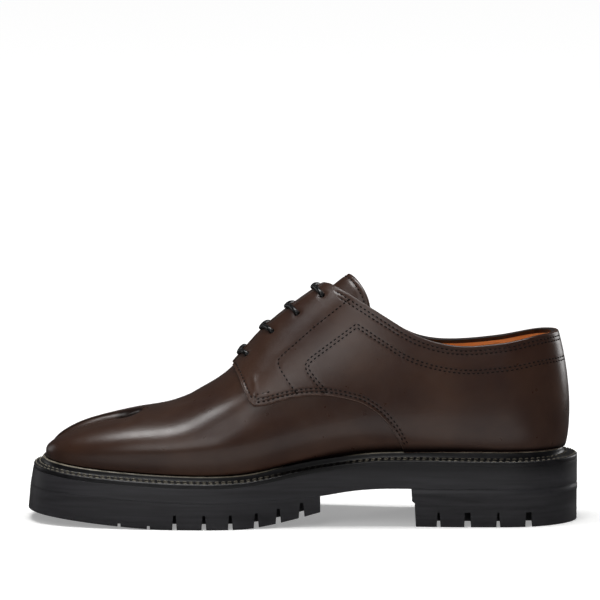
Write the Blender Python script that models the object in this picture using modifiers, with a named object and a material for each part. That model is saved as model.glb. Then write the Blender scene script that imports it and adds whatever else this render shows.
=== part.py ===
"""Split-toe lace-up shoe for the right foot, standing on its sole.

The toe points along -X, the inner (medial) side faces -Y and +Z is up. The origin is on the ground,
under the middle of the sole. Tables are in millimetres; "along" is measured forwards from the back
of the heel.
"""
import bmesh
import bpy
import numpy as np
from mathutils import Vector

# Driving sizes
MM = 0.001
GAP = 0.3
SEAT_GAP = 0.5
SOLE_LENGTH = 300.0
HEEL_CENTRE = 40.0
TOE_CENTRE = 200.0
TOP_LENGTH = 297.0
TIP_SIDE = 2.0
TOE_REACH = 35.0
TOE_BLUNTNESS = 0.29
WALL = 1.8
QUARTER_THICKNESS = 1.3
QUARTER_CLEARANCE = 0.8
WELT_THICKNESS = 3.0
WELT_SLOPE_WIDTH = 2.4
WELT_EDGE_ROUND = 0.8
WELT_SLOPE_SHARE = 0.25
BEAD_WIDTH = 0.9
BEAD_FRONT_DROP = 0.2
BEAD_BACK_DROP = 0.5
MIDSOLE_TOP_FLARE = 0.1
MIDSOLE_LOW_FLARE = 0.62
INSOLE_THICKNESS = 3.0
INSOLE_CLEARANCE = 0.9
INSOLE_TOE_SHORT = 9.0
INSOLE_TOE_EASE = 30.0
SIDES = {"medial": -1, "lateral": 1}

# Edge of the sole seen from above, and the welt beside the upper
SOLE_COLUMNS = ("along", "medial", "lateral", "welt_medial", "welt_lateral")
SOLE_ROWS = (
    (0, 37.5, 37.5, 9.4, 9.4),
    (40, 37.5, 37.5, 8.0, 8.0),
    (80, 36.2, 39.5, 7.0, 7.3),
    (120, 32.2, 46.0, 5.4, 7.2),
    (160, 38.0, 54.5, 5.8, 7.2),
    (200, 47.4, 60.0, 7.0, 7.2),
    (250, 43.0, 52.0, 7.0, 7.0),
    (297, 30.0, 30.0, 6.8, 6.8),
)

# Heights of the sole: welt edge, bead above it, where the wall's swell is measured from, underside of the midsole,
# and how far the side flares below
LEVEL_COLUMNS = ("along", "edge", "bead", "spring", "under", "flare")
LEVEL_ROWS = (
    (0, 36.2, 3.9, 3.9, 20.8, 0.0),
    (45, 36.0, 4.6, 3.9, 20.8, 0.0),
    (92, 36.6, 4.0, 3.9, 20.8, 0.0),
    (113, 35.8, 4.0, 4.0, 20.2, 0.1),
    (127, 34.2, 4.1, 4.2, 18.7, 0.2),
    (141, 32.3, 4.2, 4.4, 16.6, 0.4),
    (157, 29.6, 4.0, 4.5, 15.6, 0.7),
    (175, 26.3, 3.6, 4.6, 14.6, 1.1),
    (195, 25.0, 3.5, 4.6, 14.2, 1.4),
    (220, 25.2, 3.5, 4.5, 14.5, 1.8),
    (250, 26.6, 3.5, 4.2, 15.9, 2.2),
    (277, 28.4, 3.7, 3.9, 17.6, 2.6),
    (297, 30.9, 3.6, 3.6, 19.0, 3.0),
)

# The last above the feather line: ridge, where the wall swells furthest, and how full each side is
LAST_COLUMNS = ("along", "ridge_side", "ridge_height", "rise", "swell_medial", "swell_lateral",
                "full_medial", "full_lateral")
LAST_ROWS = (
    (0, 0.0, 144.0, 21.0, 3.2, 3.2, 1.80, 1.80),
    (40, 0.0, 143.0, 21.0, 3.8, 3.8, 1.76, 1.76),
    (75, 0.0, 142.0, 21.0, 5.0, 4.2, 1.72, 1.72),
    (105, 0.5, 141.0, 21.0, 8.0, 5.0, 1.68, 1.66),
    (124, 1.0, 136.6, 20.0, 9.0, 5.2, 1.66, 1.64),
    (140, 1.5, 127.2, 19.0, 8.6, 5.0, 1.66, 1.64),
    (157, 2.0, 114.9, 17.5, 7.2, 4.6, 1.68, 1.64),
    (174, 2.5, 99.7, 16.0, 5.4, 4.0, 1.70, 1.66),
    (190, 3.0, 81.7, 14.5, 4.0, 3.6, 1.78, 1.72),
    (204, 3.0, 72.0, 13.0, 3.2, 3.2, 1.88, 1.82),
    (219, 1.4, 64.2, 11.5, 2.8, 3.0, 2.00, 2.02),
    (238, -2.0, 60.4, 9.8, 2.4, 2.6, 2.12, 2.34),
    (265, 0.5, 55.6, 7.2, 1.6, 2.0, 2.14, 2.34),
    (297, 2.0, 50.0, 3.6, 0.8, 0.8, 2.05, 2.05),
)

# Toplines: height of each collar edge
COLLAR_COLUMNS = ("along", "medial", "lateral")
COLLAR_ROWS = (
    (0, 103.2, 103.2),
    (14, 103.2, 101.6),
    (31, 101.2, 98.7),
    (48, 99.2, 96.2),
    (62, 98.4, 94.8),
    (74, 99.8, 94.6),
    (88, 104.2, 97.0),
    (104, 113.2, 105.4),
    (120, 122.4, 116.8),
    (132, 128.2, 125.2),
    (142, 130.6, 129.6),
)

# Lower and front edge of a quarter where it crosses the vamp
QUARTER_COLUMNS = ("along", "height")
QUARTER_ROWS = (
    (95.6, 43.2),
    (97.4, 47.0),
    (99.6, 51.0),
    (103.0, 56.2),
    (107.0, 60.8),
    (111.6, 64.4),
    (117.2, 67.7),
    (124.0, 69.8),
    (136.0, 71.9),
    (148.0, 71.9),
    (162.0, 69.4),
    (171.0, 67.0),
    (176.0, 66.5),
)
QUARTER_FOOT_RISE = 0.8
QUARTER_CORNER = 176.0
QUARTER_FRONT_BEND = 1.9
QUARTER_FRONT_REACH = 0.93
FACING_FRONT = 187.4

# Tongue, its tip cut square to the instep
TONGUE_THICKNESS = 2.0
TONGUE_CLEARANCE = 1.2
TONGUE_FRONT = 200.0
TONGUE_TIP = 125.0
TONGUE_FRONT_HALF_WIDTH = 13.0
TONGUE_HALF_WIDTH = 22.0
TONGUE_TIP_HALF_WIDTH = 20.5
TONGUE_WIDE_FROM = 165.0
TONGUE_NARROW_FROM = 140.0
TONGUE_TIP_LEAN = {"medial": 13.5, "lateral": 7.0}
TONGUE_LEAN_BEND = 1.3
TONGUE_TIP_LIFT = 1.4
TONGUE_LIFT_FROM = 138.0
TONGUE_CORNER_ROUND = 0.15
TONGUE_CORNER_BEND = 8

# Throat, facings and lace
THROAT_END = 190.0
THROAT_HALF_GAP = 4.2
FACING_HALF_GAP = 3.4
FACING_TOP = 141.0
EYELET_ALONG = (179.2, 166.0, 152.4, 138.8)
EYELET_FROM_RIDGE = (12.2, 12.5, 12.2, 10.6)
EYELET_DIAMETER = 4.2
EYELET_CUT_REACH = 5.0
EYELET_SIDES = 12
LACE_DIAMETER = 2.3
LACE_FORWARD = (3.8, 5.0, 5.2, 4.4)

# Bend of a lace bar at its eyelet: rise off the leather and run towards the ridge
LACE_BEND_ROWS = (
    (0.3, 0.0),
    (1.6, 0.15),
    (2.7, 0.6),
    (3.55, 1.6),
    (3.75, 3.2),
    (3.7, 8.2),
)

# Split between the big toe and the others
SPLIT_END = 237.0
SPLIT_HEART_HEIGHT = 35.0
SPLIT_DEPTH = 13.0
SPLIT_EASE = 0.4
SPLIT_LIP = 8.5
SPLIT_FLOOR = 0.3
SPLIT_FADE_LOW = 31.4
SPLIT_FADE_HIGH = 35.5
LATERAL_LOBE_SHORTER = 3.2
MEDIAL_LOBE_LOWER = 1.9
LOBE_LOWER_RUN = 9.0
LOBE_LOWER_HEIGHTS = (38.0, 50.0)
LOBE_LOWER_SPREAD = (7.0, 25.0)
LOBE_SHORTER_START = 255.0
LOBE_SHORTER_END = 285.0

# Tread
TREAD_REAR = 140.5
TREAD_FLAT_START = 184.0
TREAD_FLAT_END = 226.0
TREAD_REAR_LIFT = 7.8
TREAD_REAR_BEND = 1.5
TOE_SPRING = 6.0
TOE_SPRING_BEND = 1.35
HEEL_FRONT = 90.5
HEEL_LIP_DEPTH = 2.1
HEEL_LIP_TOP = 14.2
HEEL_LIP_BOTTOM = 12.3
HEEL_RIB_PROUD = 0.3
HEEL_RIB_TOP = 19.4
HEEL_RIB_BOTTOM = 16.8
HEEL_RIB_EDGE = 0.5
GROOVE_REACH = 24.0
CUT_OVERRUN = 5.0
BREAST_CUT_HALF_WIDTH = 60.0
GROOVE_COLUMNS = ("along", "width", "narrow", "depth")
FOREFOOT_GROOVES = (
    (150.6, 4.0, 1.7, 8.0),
    (163.3, 3.6, 1.6, 8.0),
    (175.3, 3.4, 1.5, 8.0),
    (189.4, 3.2, 1.5, 8.0),
    (203.8, 3.2, 1.5, 8.0),
    (219.8, 3.0, 1.5, 8.0),
    (234.0, 2.4, 1.4, 1.8),
    (250.0, 2.4, 1.4, 1.8),
)
HEEL_GROOVES = (
    (26.9, 4.0, 3.0, 8.0),
    (43.5, 2.6, 1.2, 8.0),
    (60.2, 4.0, 3.0, 8.0),
    (76.0, 2.6, 1.2, 8.0),
)

# Mesh density
HEEL_RIBS = 8
HEEL_RIB_EASE = 0.9
MIDDLE_RIBS = (40, 54, 68, 80, 88, 95.5, 97.4, 99.6, 103, 107, 112, 119, 126, 131, 135, 139, 147, 156, 166, 176)
FACING_RIBS = (179.5, 182.5, 185.2, 187.4)
THROAT_RIBS = (190.5, 195)
TOE_RIBS = 13
WALL_STEPS = (-2.0, -1.45, -1.0, -0.5, 0.0)
CROWN_STEPS = (0.17, 0.34, 0.51, 0.67, 0.81, 0.92, 0.98, 1.0)
QUARTER_STEPS = 7
SOLE_HEEL_STATIONS = 10
SOLE_MIDDLE_STATIONS = 17
SOLE_TOE_STATIONS = 14
OUTSOLE_REAR_STATIONS = 8
OUTSOLE_FLAT_STATIONS = (3, 4)
OUTSOLE_TOE_STATIONS = 13
HEEL_BACK_STATIONS = 12
HEEL_SIDE_STATIONS = 5
TONGUE_LENGTH_ROWS = 11
TONGUE_TIP_ROWS = 4
TONGUE_COLUMNS = 6
LACE_BEVEL_RESOLUTION = 2
SIDE_SAMPLES = 601
NORMAL_STEP = 2e-3
SMALL = 1e-4
MERGE = 1e-5


def spline(rows, columns, name, at, level_ends=False):
    """Cubic curve through one named column of a table, natural or level at its ends."""
    table = np.array(rows, dtype=float)
    knots = table[:, columns.index("along")]
    values = table[:, columns.index(name)]
    step = np.diff(knots)
    slope = np.diff(values) / step
    size = len(knots)
    matrix = np.eye(size)
    right = np.zeros(size)
    for row in range(1, size - 1):
        matrix[row, row - 1:row + 2] = step[row - 1], 2 * (step[row - 1] + step[row]), step[row]
        right[row] = 6 * (slope[row] - slope[row - 1])
    if level_ends:
        matrix[0, :2] = 2 * step[0], step[0]
        matrix[-1, -2:] = step[-1], 2 * step[-1]
        right[0], right[-1] = 6 * slope[0], -6 * slope[-1]
    bend = np.linalg.solve(matrix, right)
    at = np.clip(np.asarray(at, dtype=float), knots[0], knots[-1])
    cell = np.clip(np.searchsorted(knots, at) - 1, 0, size - 2)
    width = step[cell]
    before = (knots[cell + 1] - at) / width
    after = (at - knots[cell]) / width
    curve = (before ** 3 - before) * bend[cell] + (after ** 3 - after) * bend[cell + 1]
    return before * values[cell] + after * values[cell + 1] + curve * width ** 2 / 6


def smooth_step(low, high, value):
    """Ease from 0 at low to 1 at high."""
    part = np.clip((value - low) / (high - low), 0, 1)
    return part * part * (3 - 2 * part)


def station_of(along):
    """Station number of a place between the heel and toe centres."""
    return (np.asarray(along, dtype=float) - HEEL_CENTRE) / (TOE_CENTRE - HEEL_CENTRE)


def half_width(side, along):
    """Half width of the sole's top edge between heel and toe centres."""
    return spline(SOLE_ROWS[1:6], SOLE_COLUMNS, side, along, level_ends=True)


def plan(side, station):
    """Top edge of the sole: an ellipse round the heel, a curve at the waist, a blunt ellipse round the toe."""
    station = np.asarray(station, dtype=float)
    sign = SIDES[side]
    heel_turn = np.clip(-station, 0, 1) * np.pi / 2
    toe_turn = np.clip(station - 1, 0, 1) * np.pi / 2
    middle = HEEL_CENTRE + (TOE_CENTRE - HEEL_CENTRE) * np.clip(station, 0, 1)
    reach = np.sin(toe_turn) + TOE_BLUNTNESS * (np.sin(toe_turn) * np.cos(toe_turn)) ** 2
    along = middle - HEEL_CENTRE * np.sin(heel_turn) + (TOP_LENGTH - TOE_CENTRE) * reach
    width = sign * half_width(side, middle) * np.cos(heel_turn)
    across = np.where(station > 1, TIP_SIDE + (width - TIP_SIDE) * np.cos(toe_turn), width)
    return np.stack((along, across), axis=-1)


def inward(side, station):
    """Unit direction in plan from the sole's edge to its inside."""
    ahead = plan(side, np.minimum(station + SMALL, 2))
    behind = plan(side, np.maximum(station - SMALL, -1))
    run = ahead - behind
    turned = np.stack((run[..., 1], -run[..., 0]), axis=-1) * SIDES[side]
    return turned / np.linalg.norm(turned, axis=-1, keepdims=True)


def edge_line(side, station, inset):
    """Sole edge moved inwards by an inset."""
    return plan(side, station) + inward(side, station) * np.asarray(inset)[..., None]


def feather_line(side, station):
    """Foot of the upper, inside the welt."""
    along = plan(side, station)[..., 0]
    welt = spline(SOLE_ROWS, SOLE_COLUMNS, "welt_" + side, along)
    return edge_line(side, station, welt)


def level(name, along):
    return spline(LEVEL_ROWS, LEVEL_COLUMNS, name, along)


def last(name, along):
    return spline(LAST_ROWS, LAST_COLUMNS, name, along)


def ridge_line(station):
    """Point in plan that each rib of the last rises to: fanned round the heel and the toe."""
    station = np.asarray(station, dtype=float)
    toe_turn = np.clip(station - 1, 0, 1) * np.pi / 2
    middle = HEEL_CENTRE + (TOE_CENTRE - HEEL_CENTRE) * np.clip(station, 0, 1)
    along = middle + (TOP_LENGTH - TOE_REACH - TOE_CENTRE) * np.sin(toe_turn)
    return np.stack((along, last("ridge_side", along)), axis=-1)


def rib_frame(side, station):
    """Feet, swell, ridge and heights of the rib at a station."""
    edge = plan(side, station)
    along = edge[..., 0]
    feather = feather_line(side, station)
    swell = feather - inward(side, station) * last("swell_" + side, along)[..., None]
    bottom = seat(along)
    foot = level("edge", along) + level("bead", along)
    belly = level("edge", along) + level("spring", along) + last("rise", along)
    full = last("full_" + side, along)
    return feather, swell, ridge_line(station), bottom, foot, belly, full


def split_pinch(side, points):
    """Draw the leather beside the split towards the heart of the toe, leaving two rounded lobes."""
    along, across, height = points[..., 0], points[..., 1], points[..., 2]
    forward = np.maximum(along - SPLIT_END, 0)
    up = height - SPLIT_HEART_HEIGHT
    angle = np.arctan2(np.maximum(up, 0), np.maximum(forward, SMALL))
    depth = SPLIT_DEPTH * np.clip(1 - (angle / (np.pi / 2)) ** 2, 0, 1) ** SPLIT_EASE
    shorter = LATERAL_LOBE_SHORTER if side == "lateral" else 0.0
    lower = MEDIAL_LOBE_LOWER if side == "medial" else 0.0
    lower = lower * smooth_step(SPLIT_END, SPLIT_END + LOBE_LOWER_RUN, along) * smooth_step(*LOBE_LOWER_HEIGHTS, height)
    beside = np.abs(across - last("ridge_side", along))
    lower = lower * (1 - smooth_step(*LOBE_LOWER_SPREAD, beside))
    front = smooth_step(LOBE_SHORTER_START, LOBE_SHORTER_END, along)
    near = np.clip(1 - (beside - SPLIT_FLOOR) / SPLIT_LIP, 0, 1)
    lip = 1 - np.sqrt(np.clip(1 - near ** 2, 0, 1))
    fade = smooth_step(SPLIT_FADE_LOW, SPLIT_FADE_HIGH, height)
    pull = np.where(along > SPLIT_END, depth * lip * fade, 0)
    reach = np.maximum(np.hypot(forward, np.maximum(up, 0)), 1.0)
    moved = points.copy()
    moved[..., 0] = along - pull * forward / reach - shorter * front * fade * (1 - lip)
    moved[..., 2] = height - pull * np.maximum(up, 0) / reach - lower * (1 - lip)
    return moved


def upper_point(side, station, girth):
    """Outside of the upper. Girth: -2 bottom edge, -1 feather, 0 swell, 1 ridge."""
    station, girth = np.broadcast_arrays(np.asarray(station, float), np.asarray(girth, float))
    feather, swell, ridge, bottom, foot, belly, full = rib_frame(side, station)
    below = np.clip(girth + 2, 0, 1)
    tuck = np.clip(-girth, 0, 1) * np.pi / 2
    rise = np.clip(girth, 0, 1) * np.pi / 2
    outward = np.maximum(np.cos(rise), 0) ** (2 / full)
    climb = np.sin(rise) ** (2 / full)
    side_wall = feather + (swell - feather) * np.cos(tuck)[..., None]
    crown = ridge + (swell - ridge) * outward[..., None]
    ground = np.where((girth > 0)[..., None], crown, side_wall)
    top = last("ridge_height", ground[..., 0])
    tucked = belly - (belly - foot) * np.sin(tuck)
    wall_height = np.where(girth < -1, bottom + (foot - bottom) * below, tucked)
    height = np.where(girth > 0, belly + (top - belly) * climb, wall_height)
    return split_pinch(side, np.concatenate((ground, height[..., None]), axis=-1))


def upper_normal(side, station, girth):
    """Outward unit normal of the upper's outside."""
    station, girth = np.broadcast_arrays(np.asarray(station, float), np.asarray(girth, float))
    ahead = upper_point(side, np.minimum(station + NORMAL_STEP, 2), girth)
    behind = upper_point(side, np.maximum(station - NORMAL_STEP, -1), girth)
    higher = upper_point(side, station, np.minimum(girth + NORMAL_STEP, 1))
    lower = upper_point(side, station, girth - NORMAL_STEP)
    normal = np.cross(higher - lower, ahead - behind) * SIDES[side]
    return normal / np.linalg.norm(normal, axis=-1, keepdims=True)


def offset_point(side, station, girth, offset):
    return upper_point(side, station, girth) + upper_normal(side, station, girth) * offset


def girth_at_height(side, station, height):
    """Girth at which a rib behind the throat reaches a height above its swell."""
    belly, full = rib_frame(side, station)[5:]
    top = last("ridge_height", ridge_line(station)[..., 0])
    climb = np.clip((height - belly) / (top - belly), 0, 1)
    return np.arcsin(climb ** (full / 2)) / (np.pi / 2)


def girth_from_ridge(side, station, distance):
    """Girth at a distance to the side of the ridge."""
    swell, ridge, full = (rib_frame(side, station)[index] for index in (1, 2, 6))
    part = np.clip(distance / np.linalg.norm(swell - ridge, axis=-1), 0, 1)
    return np.arccos(part ** (full / 2)) / (np.pi / 2)


def collar_girth(side, station):
    """Top of the collar, at a rib's own height for the topline."""
    along = plan(side, station)[..., 0]
    return girth_at_height(side, station, spline(COLLAR_ROWS, COLLAR_COLUMNS, side, along))


def top_girth(side, station, half_gap):
    """Upper edge: the collar behind, the throat's edge along the facings."""
    along = plan(side, station)[..., 0]
    facing = girth_from_ridge(side, station, half_gap)
    return np.where(along < FACING_TOP, np.minimum(collar_girth(side, station), facing), facing)


def girth_below_swell(side, station, height):
    """Girth at which a rib reaches a height between its feather and its swell."""
    foot, belly = rib_frame(side, station)[4:6]
    part = np.clip((belly - height) / (belly - foot), 0, 1)
    return -np.arcsin(part) / (np.pi / 2)


def quarter_low_girth(side, station):
    """Lower edge of a quarter: just above the welt behind, over the vamp in front."""
    along = plan(side, station)[..., 0]
    foot, belly = rib_frame(side, station)[4:6]
    lowest = foot + QUARTER_FOOT_RISE
    front = spline(QUARTER_ROWS, QUARTER_COLUMNS, "height", along)
    height = np.where(along < QUARTER_ROWS[0][0], lowest, np.maximum(front, lowest))
    tucked = girth_below_swell(side, station, height)
    girth = np.where(height < belly, tucked, girth_at_height(side, station, height))
    corner = np.clip((along - QUARTER_CORNER) / (FACING_FRONT - QUARTER_CORNER), 0, 1)
    facing = girth_from_ridge(side, station, FACING_HALF_GAP)
    start = girth_at_height(side, station, QUARTER_ROWS[-1][1] + 0 * along)
    climb = QUARTER_FRONT_REACH * corner ** QUARTER_FRONT_BEND
    return np.where(along > QUARTER_CORNER, start + (facing - start) * climb, girth)


def tread_height(along):
    """Underside of the forefoot tread: flat at the ball, lifted at the toe and behind the ball."""
    spring = np.clip((along - TREAD_FLAT_END) / (SOLE_LENGTH - TREAD_FLAT_END), 0, 1)
    rear = np.clip((TREAD_FLAT_START - along) / (TREAD_FLAT_START - TREAD_REAR), 0, 1)
    return TOE_SPRING * spring ** TOE_SPRING_BEND + TREAD_REAR_LIFT * rear ** TREAD_REAR_BEND


def bottom_edge(side):
    """Edge of the sole at the ground."""
    stations = np.linspace(-1, 2, SIDE_SAMPLES)
    return edge_line(side, stations, -level("flare", plan(side, stations)[:, 0]))


CENTRE_SIDE = (bottom_edge("medial")[:, 1].min() + bottom_edge("lateral")[:, 1].max()) / 2


def world(points):
    """Millimetres along, across and up to metres in the shoe's frame."""
    along, across, height = np.moveaxis(np.asarray(points, dtype=float), -1, 0)
    return np.stack((SOLE_LENGTH / 2 - along, across - CENTRE_SIDE, height), axis=-1) * MM


def clear_scene():
    for item in list(bpy.data.objects):
        bpy.data.objects.remove(item, do_unlink=True)


def collection(name):
    group = bpy.data.collections.new(name)
    bpy.context.scene.collection.children.link(group)
    return group


def material(name, colour, roughness):
    finish = bpy.data.materials.new(name)
    finish.use_nodes = True
    shader = finish.node_tree.nodes["Principled BSDF"]
    shader.inputs["Base Color"].default_value = (*colour, 1.0)
    shader.inputs["Roughness"].default_value = roughness
    shader.inputs["Metallic"].default_value = 0.0
    return finish


def add_object(name, mesh, group, finish):
    item = bpy.data.objects.new(name, mesh)
    group.objects.link(item)
    mesh.materials.append(finish)
    return item


def mesh_from_patches(name, patches, closed):
    """Mesh of one or more point grids, welded where they meet."""
    form = bmesh.new()
    for patch in patches:
        places = world(patch)
        corners = [[form.verts.new(place) for place in row] for row in places]
        for row in range(len(corners) - 1):
            for column in range(len(corners[0]) - 1):
                form.faces.new((corners[row][column], corners[row + 1][column],
                                corners[row + 1][column + 1], corners[row][column + 1]))
    bmesh.ops.remove_doubles(form, verts=form.verts, dist=MERGE)
    bmesh.ops.dissolve_degenerate(form, edges=form.edges, dist=MERGE)
    if closed:
        bmesh.ops.recalc_face_normals(form, faces=form.faces)
    mesh = bpy.data.meshes.new(name)
    form.to_mesh(mesh)
    form.free()
    mesh.shade_smooth()
    return mesh


def thicken(item, thickness, direction):
    """Give a shell its thickness: inwards for -1, outwards for 1."""
    shell = item.modifiers.new("wall", "SOLIDIFY")
    shell.thickness = thickness * MM
    shell.offset = direction
    shell.use_rim = True


def split_quads(item):
    """Fix the diagonals of a shell's bent quads."""
    item.modifiers.new("diagonals", "TRIANGULATE").quad_method = "FIXED"


def cut(item, cutter):
    hole = item.modifiers.new("cut", "BOOLEAN")
    hole.operation = "DIFFERENCE"
    hole.solver = "EXACT"
    hole.object = cutter


def shell_stations():
    heel = -np.cos(np.linspace(0, np.pi / 2, HEEL_RIBS, endpoint=False)) ** HEEL_RIB_EASE
    middle = station_of(np.array(MIDDLE_RIBS + FACING_RIBS + THROAT_RIBS))
    toe = 1 + np.sin(np.linspace(0, np.pi / 2, TOE_RIBS))
    return np.concatenate((heel, middle, toe))


def make_upper(group, finish, eyelets):
    """One hollow wall over the last, open at the collar, the throat and underneath."""
    stations = shell_stations()
    along = ridge_line(stations)[:, 0]
    patches = []
    for side, sign in SIDES.items():
        top = np.where(along > THROAT_END, 1.0, top_girth(side, stations, THROAT_HALF_GAP))
        crown = top[:, None] * np.array(CROWN_STEPS)[None, :]
        wall = np.repeat(np.array(WALL_STEPS)[None, :], len(stations), axis=0)
        girth = np.concatenate((wall, crown), axis=1)
        patch = upper_point(side, stations[:, None], girth)
        patches.append(patch if sign > 0 else patch[::-1])
    mesh = mesh_from_patches("upper", patches, False)
    item = add_object("upper", mesh, group, finish)
    thicken(item, WALL, -1)
    split_quads(item)
    cut(item, eyelets)
    return item


def make_quarter(side, group, finish, eyelets):
    """Quarter laid over the upper, from the back seam to the front of its facing."""
    stations = shell_stations()[:HEEL_RIBS + len(MIDDLE_RIBS) + len(FACING_RIBS)]
    stations[0] = -1 + 2 * GAP / (HEEL_CENTRE * np.pi)
    low = quarter_low_girth(side, stations)
    high = top_girth(side, stations, FACING_HALF_GAP)
    girth = low[:, None] + (high - low)[:, None] * np.linspace(0, 1, QUARTER_STEPS + 1)[None, :]
    patch = offset_point(side, stations[:, None], girth, QUARTER_CLEARANCE)
    facing_out = patch if side == "lateral" else patch[::-1]
    mesh = mesh_from_patches("quarter_" + side, [facing_out], False)
    item = add_object("quarter_" + side, mesh, group, finish)
    thicken(item, QUARTER_THICKNESS, 1)
    split_quads(item)
    cut(item, eyelets)
    return item


def tongue_half_width(along):
    """Half width of the tongue: narrow under the vamp, wide under the facings, its tip a little less."""
    widen = smooth_step(TONGUE_FRONT, TONGUE_WIDE_FROM, along)
    narrow = smooth_step(TONGUE_NARROW_FROM, TONGUE_TIP, along)
    wide = TONGUE_FRONT_HALF_WIDTH + (TONGUE_HALF_WIDTH - TONGUE_FRONT_HALF_WIDTH) * widen
    return wide - (TONGUE_HALF_WIDTH - TONGUE_TIP_HALF_WIDTH) * narrow


def make_tongue(group, finish):
    """Leather tongue under the facings, its tip above them. Rows lean back at their sides towards the tip."""
    body = np.linspace(TONGUE_FRONT, TONGUE_NARROW_FROM, TONGUE_LENGTH_ROWS, endpoint=False)
    along = np.concatenate((body, np.linspace(TONGUE_NARROW_FROM, TONGUE_TIP, TONGUE_TIP_ROWS)))[:, None]
    parts = np.linspace(1, 0, TONGUE_COLUMNS)[None, :]
    sweep = parts ** TONGUE_LEAN_BEND - TONGUE_CORNER_ROUND * parts ** TONGUE_CORNER_BEND
    lift = TONGUE_TIP_LIFT * smooth_step(TONGUE_LIFT_FROM, TONGUE_TIP, along) * (1 - parts ** 2)
    halves = {}
    for side in SIDES:
        lean = TONGUE_TIP_LEAN[side] * smooth_step(TONGUE_FRONT, TONGUE_TIP, along)
        stations = station_of(along - lean * sweep)
        girth = girth_from_ridge(side, stations, tongue_half_width(along) * parts)
        halves[side] = offset_point(side, stations, girth, (lift - WALL - TONGUE_CLEARANCE)[..., None])
    ridge = (halves["medial"][:, -1:] + halves["lateral"][:, -1:]) / 2
    rows = np.concatenate((halves["medial"][:, :-1], ridge, halves["lateral"][:, -2::-1]), axis=1)
    mesh = mesh_from_patches("tongue", [rows], False)
    item = add_object("tongue", mesh, group, finish)
    thicken(item, TONGUE_THICKNESS, -1)
    split_quads(item)
    return item


def stack(name, stations, rings, group, finish):
    """Solid of stacked edge lines. Each ring gives the inset and height of one edge, from the top down."""
    places = {side: [] for side in SIDES}
    for inset, height in rings:
        for side in SIDES:
            line = edge_line(side, stations, inset(side, stations))
            places[side].append(np.concatenate((line, height(line[:, 0])[:, None]), axis=1))
    loops = places["medial"] + places["lateral"][::-1]
    rows = np.stack(loops + loops[:1], axis=1)
    form = bmesh.new()
    corners = [[form.verts.new(place) for place in row[:-1]] for row in world(rows)]
    count = len(corners[0])
    for row in range(len(corners) - 1):
        for column in range(count):
            after = (column + 1) % count
            form.faces.new((corners[row][column], corners[row + 1][column],
                            corners[row + 1][after], corners[row][after]))
    form.faces.new(corners[0])
    form.faces.new(corners[-1])
    bmesh.ops.remove_doubles(form, verts=form.verts, dist=MERGE)
    bmesh.ops.dissolve_degenerate(form, edges=form.edges, dist=MERGE)
    bmesh.ops.recalc_face_normals(form, faces=form.faces)
    mesh = bpy.data.meshes.new(name)
    form.to_mesh(mesh)
    form.free()
    return add_object(name, mesh, group, finish)


def flat_inset(value):
    return lambda side, stations: np.full(len(stations), value)


def flared(share):
    """Inset of the sole's side, flaring outwards towards the ground."""
    return lambda side, stations: -level("flare", plan(side, stations)[:, 0]) * share


def inside_upper(side, stations):
    """Inset of the insole: clear of the wall, and short of the split at the toe."""
    along = plan(side, stations)[:, 0]
    toe = INSOLE_TOE_SHORT * smooth_step(TOP_LENGTH - INSOLE_TOE_EASE, TOP_LENGTH, along)
    return spline(SOLE_ROWS, SOLE_COLUMNS, "welt_" + side, along) + WALL + INSOLE_CLEARANCE + toe


def sole_stations():
    heel = np.linspace(-1, 0, SOLE_HEEL_STATIONS, endpoint=False)
    middle = np.linspace(0, 1, SOLE_MIDDLE_STATIONS, endpoint=False)
    return np.concatenate((heel, middle, np.linspace(1, 2, SOLE_TOE_STATIONS)))


def seat(along):
    """Height that the upper, the welt and the insole sit at, just above the midsole."""
    return level("edge", along) - WELT_THICKNESS + SEAT_GAP


def make_midsole(group, finish):
    top = (flared(MIDSOLE_TOP_FLARE), lambda along: seat(along) - SEAT_GAP)
    low = (flared(MIDSOLE_LOW_FLARE), lambda along: level("under", along))
    return stack("midsole", sole_stations(), (top, low), group, finish)


def make_insole(group, finish):
    top = (inside_upper, lambda along: seat(along) + INSOLE_THICKNESS)
    return stack("insole", sole_stations(), (top, (inside_upper, seat)), group, finish)


def make_welt(group, finish):
    """Ring round the upper: flat stitched edge outside, sloping up to a raised bead inside."""
    stations = sole_stations()
    rings = []
    for side, sign in SIDES.items():
        along = plan(side, stations)[:, 0]
        width = spline(SOLE_ROWS, SOLE_COLUMNS, "welt_" + side, along) - GAP
        edge = level("edge", along)
        bead = level("bead", along)
        outside = np.zeros_like(width)
        profile = (
            (width, seat(along)),
            (outside, seat(along)),
            (outside, edge - WELT_EDGE_ROUND),
            (outside + WELT_EDGE_ROUND, edge),
            (width - WELT_SLOPE_WIDTH, edge + WELT_SLOPE_SHARE * bead),
            (width - BEAD_WIDTH, edge + bead - BEAD_FRONT_DROP),
            (width, edge + bead - BEAD_BACK_DROP),
        )
        lines = [np.concatenate((edge_line(side, stations, inset), height[:, None]), axis=1)
                 for inset, height in profile]
        grid = np.stack(lines + lines[:1], axis=1)
        rings.append(grid if sign < 0 else grid[::-1])
    mesh = mesh_from_patches("welt", rings, True)
    return add_object("welt", mesh, group, finish)


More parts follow.
